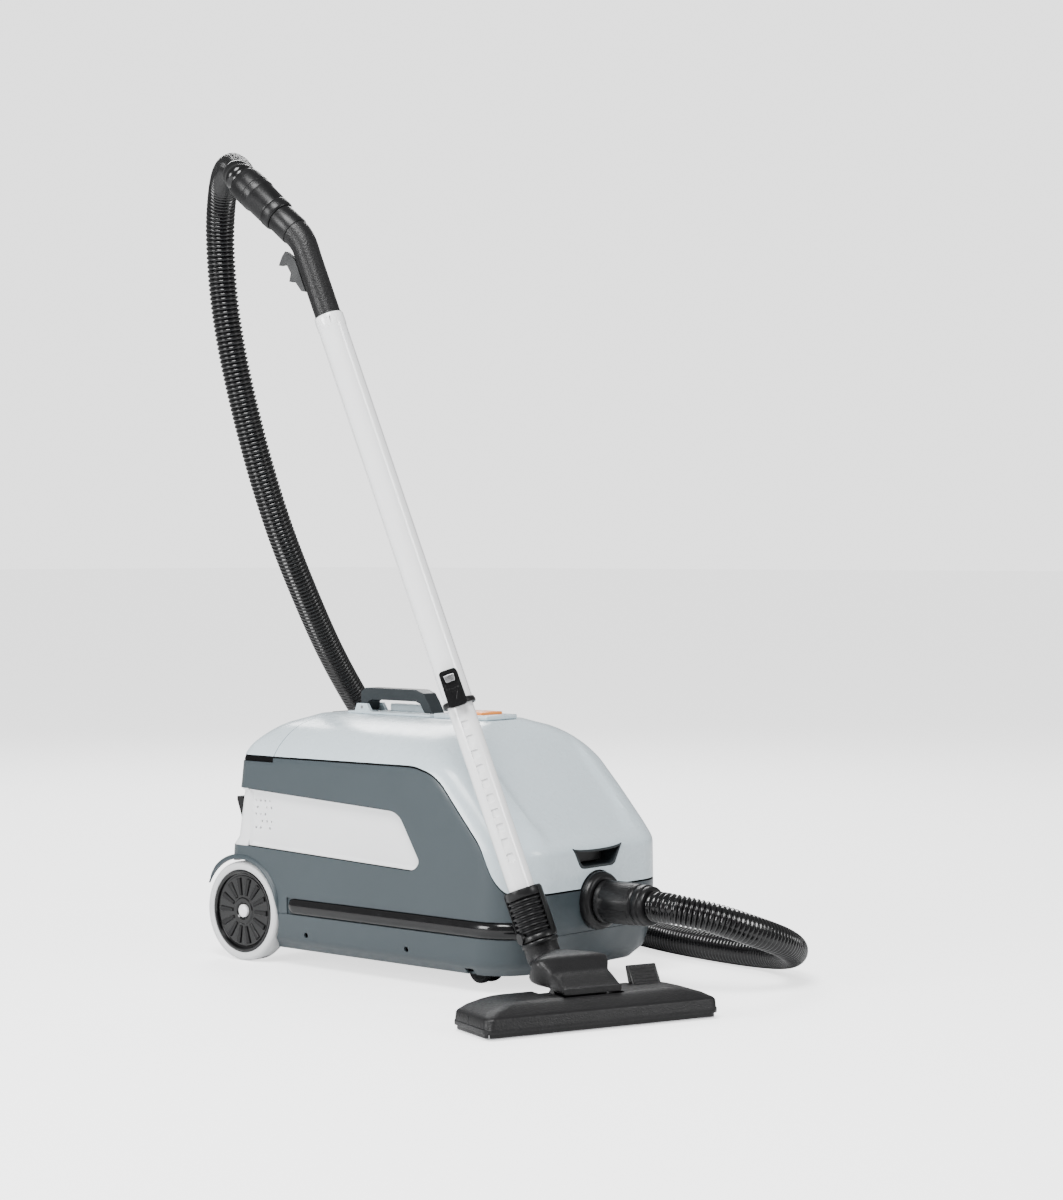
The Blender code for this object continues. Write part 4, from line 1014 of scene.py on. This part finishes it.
def wand():
    turn = along(WAND, WAND_DIR)
    lower = [(0.0132, -0.040), (0.0160, -0.040), (0.0160, 0.4890), (0.0156, 0.490), (0.0132, 0.490)]
    tube = lathe("wand_lower_tube", lower, turn, 72)
    pockets = []
    for k in range(NOTCHES):
        t = NOTCH_START + NOTCH_PITCH * k
        outline = ((-0.0042, t), (0.0042, t), (0.0042, t + 0.0105), (-0.0042, t + 0.0105))
        shape = rounded(outline, 0.0016, 3)
        pocket = prism("pocket", shape, "Y", 0.0139, 0.0180)
        pocket.data.transform(clip_turn())
        pockets.append(pocket)
    cut(tube, joined("pockets", pockets))
    piece(tube, "white", "lower_wand", "white_tube", "wand_lower", edge=0.0003, angle=40)
    upper = [(0.0165, 0.2344), (0.0178, 0.2344), (0.0178, 0.7290), (0.0181, 0.7300), (0.0184, 0.7310),
             (0.0184, 0.7448), (0.0180, 0.7459), (0.0165, 0.7459)]
    tube = lathe("wand_upper_tube", upper, turn, 72)
    marks = []
    for x in (-0.0048, 0.0022):
        mark = block("mark", (x, 0.0178, 0.7335), (x + 0.0036, 0.0190, 0.7405))
        mark.data.transform(clip_turn())
        marks.append(mark)
    cut(tube, joined("marks", marks))
    piece(tube, "white", "upper_wand", "white_tube", "wand_upper", edge=0.0003, angle=40)
    ring = [(0.0181, 0.2330), (0.0196, 0.2330), (0.0202, 0.2336), (0.0206, 0.2350), (0.0206, 0.2372),
            (0.0200, 0.2382), (0.0200, 0.2396), (0.0191, 0.2402), (0.0181, 0.2402)]
    piece(lathe("wand_slide_ring", ring, turn, 64), "black", "upper_wand", "black", "wand_ring", angle=35)
    wand_clip()


def wand_clip():
    low_t, high_t = 0.2300, 0.2760
    outline = ((-0.0118, low_t), (0.0118, low_t), (0.0112, high_t), (-0.0112, high_t))
    shape = rounded(outline, 0.005, 5)
    clip = prism("wand_clip_body", shape, "Y", 0.0200, 0.0286)
    arrow = prism("arrow", ((-0.0048, 0.2490), (0.0, 0.2395), (0.0048, 0.2490)), "Y", 0.0276, 0.0300)
    cut(clip, arrow)
    cut(clip, block("well", (-0.0078, 0.0270, 0.2528), (0.0078, 0.0300, 0.2712)))
    clip.data.transform(clip_turn())
    piece(clip, "black_gloss", "upper_wand", "black", "wand_clip", edge=0.0012, segments=3, angle=40)
    key = prism("clip_key", ((-0.0056, 0.2605), (0.0056, 0.2605), (0.0068, 0.2698), (-0.0068, 0.2698)),
                "Y", 0.0284, 0.0313)
    key.data.transform(clip_turn())
    piece(key, "steel", "clip_button", "steel", "clip_button", edge=0.0011, segments=3)


def neck_socket():
    """The ribbed socket: rubber-like rings between two side straps, over a collar."""
    turn = along(WAND, WAND_DIR)
    profile = [(0.0165, -0.0630), (0.0222, -0.0630), (0.0232, -0.0622), (0.0232, -0.0570), (0.0222, -0.0560),
               (0.0208, -0.0552)]
    ribs, first, last = 7, -0.0545, -0.0120
    pitch = (last - first) / ribs
    for k in range(ribs):
        z = first + pitch * k
        for share, r in ((0.05, 0.0196), (0.30, 0.0200), (0.42, 0.0218), (0.55, 0.0223), (0.70, 0.0223),
                         (0.82, 0.0218), (0.95, 0.0200)):
            profile.append((r, z + pitch * share))
    profile += [(0.0208, -0.0112), (0.0222, -0.0106), (0.0227, -0.0095), (0.0227, -0.0014), (0.0222, 0.0),
                (0.0165, 0.0)]
    piece(lathe("neck_socket_ribs", profile, turn, 64), "black", "lower_wand", "black", "neck_socket",
          angle=45)
    straps = []
    view_out = clip_turn().to_3x3() @ Vector((0, 1, 0))
    for angle, half in ((74, 19), (-98, 13)):
        a0, a1 = math.radians(90 + angle - half), math.radians(90 + angle + half)
        rings = []
        for z in (-0.0625, -0.0600, -0.0035, -0.0010):
            r = 0.0238 if -0.061 < z < -0.003 else 0.0230
            rings.append(arc_ring(r, 0.0212, a0, a1, 10, z))
        straps.append(loft("strap", rings, along(WAND, WAND_DIR, view_out)))
    a = math.radians(32)
    at = Vector((0.0205 * math.cos(a), 0.0205 * math.sin(a), -0.0560))
    out = Vector((math.cos(a), math.sin(a), 0))
    straps.append(rod("pivot", at, at + out * 0.0048, 0.0072, 28, along(WAND, WAND_DIR, view_out)))
    piece(joined("neck_socket_straps", straps), "black", "lower_wand", "black", edge=0.0007, angle=40)


def neck():
    """From a round spigot under the wand to a flat cover over the floor head."""
    hinge = joint_place("neck_tilt")
    spigot, foot = on_wand(-0.0655), on_wand(-0.0850)
    front = HEAD + HEAD_Y * -0.0130 + UP * 0.0417
    over = HEAD + HEAD_Y * 0.0160 + UP * 0.0492
    lean = (HEAD_Y + UP * 0.42).normalized()
    stations = [
        (front, 0.0378, 0.0034, 0.22, HEAD_Y),
        (over, 0.0385, 0.0100, 0.24, (HEAD_Y + UP * 0.10)),
        (HEAD + HEAD_Y * 0.0440 + UP * 0.0590, 0.0490, 0.0180, 0.36, lean),
        (foot.lerp(HEAD + HEAD_Y * 0.0600 + UP * 0.0620, 0.50), 0.0250, 0.0215, 0.80, (HEAD_Y + UP)),
        (foot, 0.0212, 0.0212, 1.0, WAND_DIR),
        (spigot, 0.0208, 0.0208, 1.0, WAND_DIR),
    ]
    rings = []
    per = 7
    for i in range(len(stations) - 1):
        for k in range(per if i < len(stations) - 2 else per + 1):
            t = k / per
            eased = [a + (b - a) * ease(t) for a, b in zip(stations[i][1:4], stations[i + 1][1:4])]
            wide, tall, power = eased
            centre = spline([station[0] for station in stations], i, t)
            ahead = spline([station[4].normalized() for station in stations], i, t).normalized()
            across = (HEAD_X - HEAD_X.dot(ahead) * ahead).normalized()
            up = across.cross(ahead)
            ring = []
            for j in range(40):
                a = 2 * math.pi * j / 40
                c, s = math.cos(a), math.sin(a)
                x = wide * math.copysign(abs(c) ** power, c)
                z = tall * math.copysign(abs(s) ** power, s)
                ring.append(centre + across * x + up * z)
            rings.append(ring)
    piece(loft("neck_elbow", rings), "grained", "neck", "black", "neck", angle=48)
    hub = []
    for side in (-1, 1):
        start = hinge + HEAD_X * side * 0.0225
        hub.append(rod("hub", start, start + HEAD_X * side * 0.0112, 0.0088, 32))
        hub.append(rod("pin", start, hinge + HEAD_X * side * 0.0375, 0.0040, 20))
    web = loft("web", [[hinge + HEAD_X * x + HEAD_Y * y + UP * z for y, z in
                        ((-0.008, -0.004), (0.008, -0.006), (0.022, 0.010), (0.020, 0.018), (-0.006, 0.012))]
                       for x in (-0.026, 0.026)])
    piece(joined("neck_hinge_hub", hub + [web]), "black", "neck", "black", edge=0.0006)
    ring = [(0.0190, -0.0690), (0.0221, -0.0690), (0.0228, -0.0680), (0.0228, -0.0648), (0.0221, -0.0638),
            (0.0190, -0.0638)]
    piece(lathe("neck_collar", ring, along(WAND, WAND_DIR), 56), "black", "neck", "black", angle=40)


def bent_handle():
    dress("grained", "bent_handle", edge=0.0)
    dress("graphite", "grip_bracket", edge=0.0008)
    turn = along(BEND, GRIP_DIR)
    sleeve = [(0.0170, 0.0150), (0.0187, 0.0150), (0.0190, 0.0160), (0.0190, 0.0425), (0.0187, 0.0438),
              (0.0170, 0.0438)]
    piece(lathe("handle_sleeve", sleeve, turn, 56), "black", "upper_wand", "black", angle=40)
    seam = [(0.0150, 0.7460), (0.0172, 0.7460), (0.0172, 0.7476), (0.0150, 0.7476)]
    piece(lathe("handle_foot_ring", seam, along(WAND, WAND_DIR), 56), "graphite", "upper_wand", "black",
          edge=0.0004)


# ---------------------------------------------------------------- floor head
HEAD_HALF, HEAD_DEPTH = 0.153, 0.043


def head_ring(half, front, rear, z, radius, steps=8):
    points = []
    for x, y, start in ((half - radius, rear - radius, 0), (-half + radius, rear - radius, 90),
                        (-half + radius, front + radius, 180), (half - radius, front + radius, 270)):
        for k in range(steps + 1):
            a = math.radians(start + 90 * k / steps)
            points.append(Vector((x + radius * math.cos(a), y + radius * math.sin(a), z)))
    return points


def floor_head():
    half, deep = HEAD_HALF, HEAD_DEPTH
    # height, then how far the side, the front and the rear step in, and the corner radius
    levels = ((0.0078, 0.0000, 0.000, 0.000, 0.010), (0.0090, -0.0008, 0.000, 0.000, 0.0108),
              (0.0128, -0.0010, 0.000, 0.000, 0.0110), (0.0138, 0.0, 0.0006, 0.0, 0.0106),
              (0.0225, 0.0010, 0.0012, 0.0008, 0.010), (0.0248, 0.0024, 0.0026, 0.0012, 0.0105),
              (0.0266, 0.0056, 0.0056, 0.0017, 0.011), (0.0300, 0.0120, 0.0110, 0.0022, 0.012),
              (0.0345, 0.0290, 0.0190, 0.0030, 0.013), (0.0366, 0.0400, 0.0245, 0.0040, 0.014),
              (0.0373, 0.0480, 0.0290, 0.0060, 0.014))
    rings = [head_ring(half - side, -deep + front, deep - rear, z, r) for z, side, front, rear, r in levels]
    obj = loft("floor_head_shell", rings)
    cut(obj, block("cavity", (-0.149, -0.039, 0.0), (0.149, 0.039, 0.0205)))
    cut(obj, block("notch", (-0.0345, 0.0060, 0.0165), (0.0345, 0.0500, 0.05)))
    cut(obj, block("rest", (-0.0402, -0.0175, 0.0245), (0.0402, 0.0500, 0.05)))
    cut(obj, block("flare_room", (-0.0530, 0.0200, 0.0300), (0.0530, 0.0500, 0.05)))
    cut(obj, block("slot", (0.0740, 0.0205, 0.0240), (0.1160, 0.0500, 0.05)))
    line = joined("lines", [block("groove", (-0.100, -0.0105, 0.0366), (0.128, -0.0097, 0.040)),
                            block("groove", (-0.1535, 0.0028, 0.0150), (-0.1515, 0.0036, 0.0260))])
    cut(obj, line)
    obj.data.transform(to_head())
    piece(obj, "grained", "floor_head", "black", "nozzle_body", edge=0.0008, angle=38)
    dress("steel", "nozzle_sole", edge=0.0005)
    dress("graphite", "nozzle_roller_left", "nozzle_roller_right", edge=0.0008)
    pedal()
    brush()
    skirt = loft("floor_head_skirt", [head_ring(half - 0.0020, -deep + 0.002, deep - 0.002, z, 0.0095)
                                      for z in (0.0032, 0.0076)])
    cut(skirt, block("inside", (-0.1488, -0.0388, 0.0), (0.1488, 0.0388, 0.02)))
    skirt.data.transform(to_head())
    piece(skirt, "black", "floor_head", "black", edge=0.0005)


def pedal():
    dress("black", "nozzle_pedal", edge=0.0012, segments=3)
    tilt = math.atan2(0.0575 - 0.0300, 0.0385 - 0.0215)
    turn = to_head() @ Matrix.Translation((0.095, 0.0308, 0.0450)) @ Matrix.Rotation(tilt, 4, "X")
    pad = block("pedal_pad", (-0.0170, -0.0115, -0.0004), (0.0170, 0.0125, 0.0007), turn)
    piece(pad, "grained", "head_pedal", "black", edge=0.0006)
    ribs = [block("rib", (-0.0165, y, 0.0004), (0.0165, y + 0.0012, 0.0013), turn) for y in
            (-0.0080, -0.0040, 0.0, 0.0040, 0.0080)]
    piece(joined("pedal_ribs", ribs), "black", "head_pedal", "black", edge=0.0003)


def brush():
    """Two rows of bristles in their holder."""
    turn = to_head()
    holder = block("brush_holder", (-0.140, -0.0256, 0.0100), (0.140, -0.0204, 0.0160), turn)
    piece(holder, "graphite", "head_brush", "graphite", "brush_strip", edge=0.0004)
    tufts = []
    count = 62
    for k in range(count):
        for row, y in enumerate((-0.0242, -0.0218)):
            x = -0.1380 + 0.2760 * (k + 0.5 * row) / count
            tufts.append(rod("tuft", (x, y, 0.0046), (x, y, 0.0102), 0.0009, 6, turn))
    piece(joined("brush_bristles", tufts), "black", "head_brush", "graphite", angle=70)


# ---------------------------------------------------------------- on the lid
def lid_parts():
    dress("dark_slate_and_shade", "carry_handle", edge=0.0036, segments=4)
    dress("pale", "handle_bracket", edge=0.0007)
    dress("steel", "handle_pin", edge=0.0)
    dress("pale", "button_plate", edge=0.0014, segments=3)
    dress("orange", "power_button", edge=0.0012, segments=3)
    dress("graphite", "filter_release", edge=0.0010, segments=3)
    low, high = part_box("handle_bracket")
    rest = block("handle_rest", (0.0132, -0.0280, 0.3285), (0.0236, 0.0560, 0.3392))
    piece(place(rest), "pale", "hood", "pale", edge=0.0022, segments=3)
    heads = []
    for x in (-0.0095, 0.0095):
        for y in (low.y - MACHINE.y + 0.010, high.y - MACHINE.y - 0.045):
            heads.append(rod("head", (x, y, 0.3290), (x, y, 0.3304), 0.0026, 20))
    piece(place(joined("bracket_screws", heads)), "steel", "hood", "steel", edge=0.0004)
    mark = lathe("button_ring", [(0.0062, 0.3358), (0.0076, 0.3358), (0.0076, 0.3364), (0.0062, 0.3364)],
                 to_machine() @ Matrix.Translation((0, -0.1178, 0)), 48)
    piece(mark, "white", "power_button", "side_panel", edge=0.0002)


# ---------------------------------------------------------------- inside
def dust_bag():
    """A filled fleece bag: full in the middle, puckered and creased towards its ends."""
    low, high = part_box("dust_bag")
    middle, size = (low + high) / 2, (high - low) / 2
    rings = []
    rows, sides = 60, 96
    for i in range(rows + 1):
        t = -1 + 2 * i / rows
        full = (1 - abs(t) ** 3.2) ** 0.5 if abs(t) < 1 else 0.0
        full = 0.16 + 0.84 * full
        ring = []
        for k in range(sides):
            a = 2 * math.pi * k / sides
            c, s = math.cos(a), math.sin(a)
            ripple = noise.noise(Vector((c * 4, s * 4, t * 6)))
            crease = 0.010 * (1 - full) * math.sin(9 * a) + 0.0022 * ripple
            x = size.x * full * 0.955 * math.copysign(abs(c) ** 0.66, c) + crease * c
            z = size.z * full * 0.955 * math.copysign(abs(s) ** 0.66, s) + crease * s
            ring.append(Vector((middle.x + x, middle.y + size.y * 0.985 * t, middle.z + z)))
        rings.append(ring)
    bag = piece(loft("dust_bag_fleece", rings), "paper", "machine", "paper", "dust_bag", angle=80)


def inner_parts():
    dress("paper", "bag_collar", "exhaust_filter")
    dress("graphite", "bag_holder", "motor_bulkhead")
    dress("foam", "premotor_filter", "motor_mount", "inlet_seal")
    dress("motor", "motor_housing")
    dress("steel", "motor_fan", "axle_left", "axle_right", "battery_contacts", edge=0.0003)
    dress("board", "control_board", edge=0.0)
    low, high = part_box("exhaust_filter")
    pleats = []
    count = 22
    for k in range(count):
        x = low.x + 0.006 + (high.x - low.x - 0.012) * k / (count - 1)
        pleats.append(block("pleat", (x - 0.0022, low.y + 0.004, high.z - 0.0005),
                            (x + 0.0022, high.y - 0.004, high.z + 0.0022)))
    piece(joined("exhaust_filter_pleats", pleats), "paper", "machine", "paper", edge=0.0012, segments=3)


def battery():
    dress("black", "battery_pack", edge=0.0014, segments=3)
    ribs = []
    for k in range(9):
        x = -0.080 + 0.020 * k
        ribs.append(prism("rib", ((0.2212, 0.1668), (0.2222, 0.1664), (0.2375, 0.2040), (0.2366, 0.2046)),
                          "X", x - 0.0060, x + 0.0060))
    piece(place(joined("battery_grip_ribs", ribs)), "graphite", "battery", "black", edge=0.0003)


def fasteners():
    heads = []
    for x, y in ((-0.110, -0.262), (0.110, -0.262), (-0.118, -0.060), (0.118, -0.060), (-0.095, 0.150),
                 (0.095, 0.150)):
        profile = [(0.0, BASE_Z - 0.0016), (0.0016, BASE_Z - 0.0016), (0.0016, BASE_Z - 0.0006),
                   (0.0022, BASE_Z - 0.0006), (0.0022, BASE_Z - 0.0018), (0.0038, BASE_Z - 0.0014),
                   (0.0042, BASE_Z - 0.0004), (0.0042, BASE_Z + 0.0010), (0.0, BASE_Z + 0.0010)]
        heads.append(lathe("head", profile, to_machine() @ Matrix.Translation((x, y, 0)), 24))
    piece(joined("chassis_screws", heads), "steel", "machine", "steel", angle=35)
    ribs = [block("rib", (x - 0.0015, -0.150, BASE_Z - 0.0012), (x + 0.0015, 0.140, BASE_Z + 0.0005))
            for x in (-0.060, -0.020, 0.020, 0.060)]
    piece(place(joined("chassis_skid_ribs", ribs)), "slate", "machine", "slate", edge=0.0004)


# ---------------------------------------------------------------- stage
FLOOR_GLOW, WORLD_LIGHT, WORLD_SEEN = 1.7, 0.42, 2.3


def stage():
    low, _ = CAD_BOX
    far = 60.0
    floor = block("floor", (-far, -far, low.z - 0.02), (far, far, low.z))
    look = Look("pale_floor", Emission_Color=(1, 1, 1, 1), Specular_IOR_Level=0.1)
    look.colour((0.93, 0.935, 0.94), 0.006, 3.0).rough(0.7, 0.02)
    glow = look.tree.nodes.new("ShaderNodeMapRange")
    glow.inputs["To Max"].default_value = FLOOR_GLOW
    look.link(look.tree.nodes.new("ShaderNodeLightPath").outputs["Is Camera Ray"], glow.inputs["Value"])
    look.link(glow.outputs["Result"], look.shader.inputs["Emission Strength"])
    floor.data.materials.append(look.mat)
    world = bpy.data.worlds.new("studio")
    bpy.context.scene.world = world
    world.use_nodes = True
    tree = world.node_tree
    tree.nodes["Background"].inputs["Color"].default_value = (1.0, 1.0, 1.0, 1)
    seen = tree.nodes.new("ShaderNodeLightPath").outputs["Is Camera Ray"]
    blend = tree.nodes.new("ShaderNodeMapRange")
    blend.inputs["To Min"].default_value = WORLD_LIGHT
    blend.inputs["To Max"].default_value = WORLD_SEEN
    tree.links.new(seen, blend.inputs["Value"])
    tree.links.new(blend.outputs["Result"], tree.nodes["Background"].inputs["Strength"])
    target = MACHINE + Vector((-0.1, -0.1, 0.25))
    for name, place_at, size, power in (
        ("key", (-1.8, -0.9, 3.0), 1.4, 170),
        ("side", (-3.4, 1.1, 1.3), 1.3, 110),
        ("rim", (2.0, 2.2, 2.4), 1.5, 80),
        ("front", (0.9, -3.2, 1.9), 0.9, 42),
    ):
        light = bpy.data.lights.new(name, "AREA")
        light.energy = power
        light.size = size
        lamp = bpy.data.objects.new(name, light)
        bpy.context.scene.collection.objects.link(lamp)
        lamp.location = place_at
        lamp.rotation_euler = (target - lamp.location).to_track_quat("-Z", "Y").to_euler()


CAMERA_AT = Vector((-2.4032, -2.2082, 0.544))
CAMERA_AZIMUTH, CAMERA_PITCH, CAMERA_LENS = 49.2, -1.08, 78.0


def camera():
    data = bpy.data.cameras.new("camera")
    data.lens = CAMERA_LENS
    data.sensor_width = 36.0
    data.dof.use_dof = False
    eye = bpy.data.objects.new("camera", data)
    bpy.context.scene.collection.objects.link(eye)
    eye.location = CAMERA_AT
    turn, pitch = math.radians(CAMERA_AZIMUTH), math.radians(CAMERA_PITCH)
    ahead = Vector((math.sin(turn) * math.cos(pitch), math.cos(turn) * math.cos(pitch), math.sin(pitch)))
    eye.rotation_euler = ahead.to_track_quat("-Z", "Y").to_euler()
    bpy.context.scene.camera = eye


camera()
stage()
hose(inlet_and_cuffs())
chassis()
housing()
band_panel()
side_panels()
wheel_arches()
bumpers()
hood()
rear_cap()
lid_seam_shade()
wheels()
casters()
wand()
neck_socket()
neck()
bent_handle()
floor_head()
lid_parts()
dust_bag()
inner_parts()
battery()
fasteners()
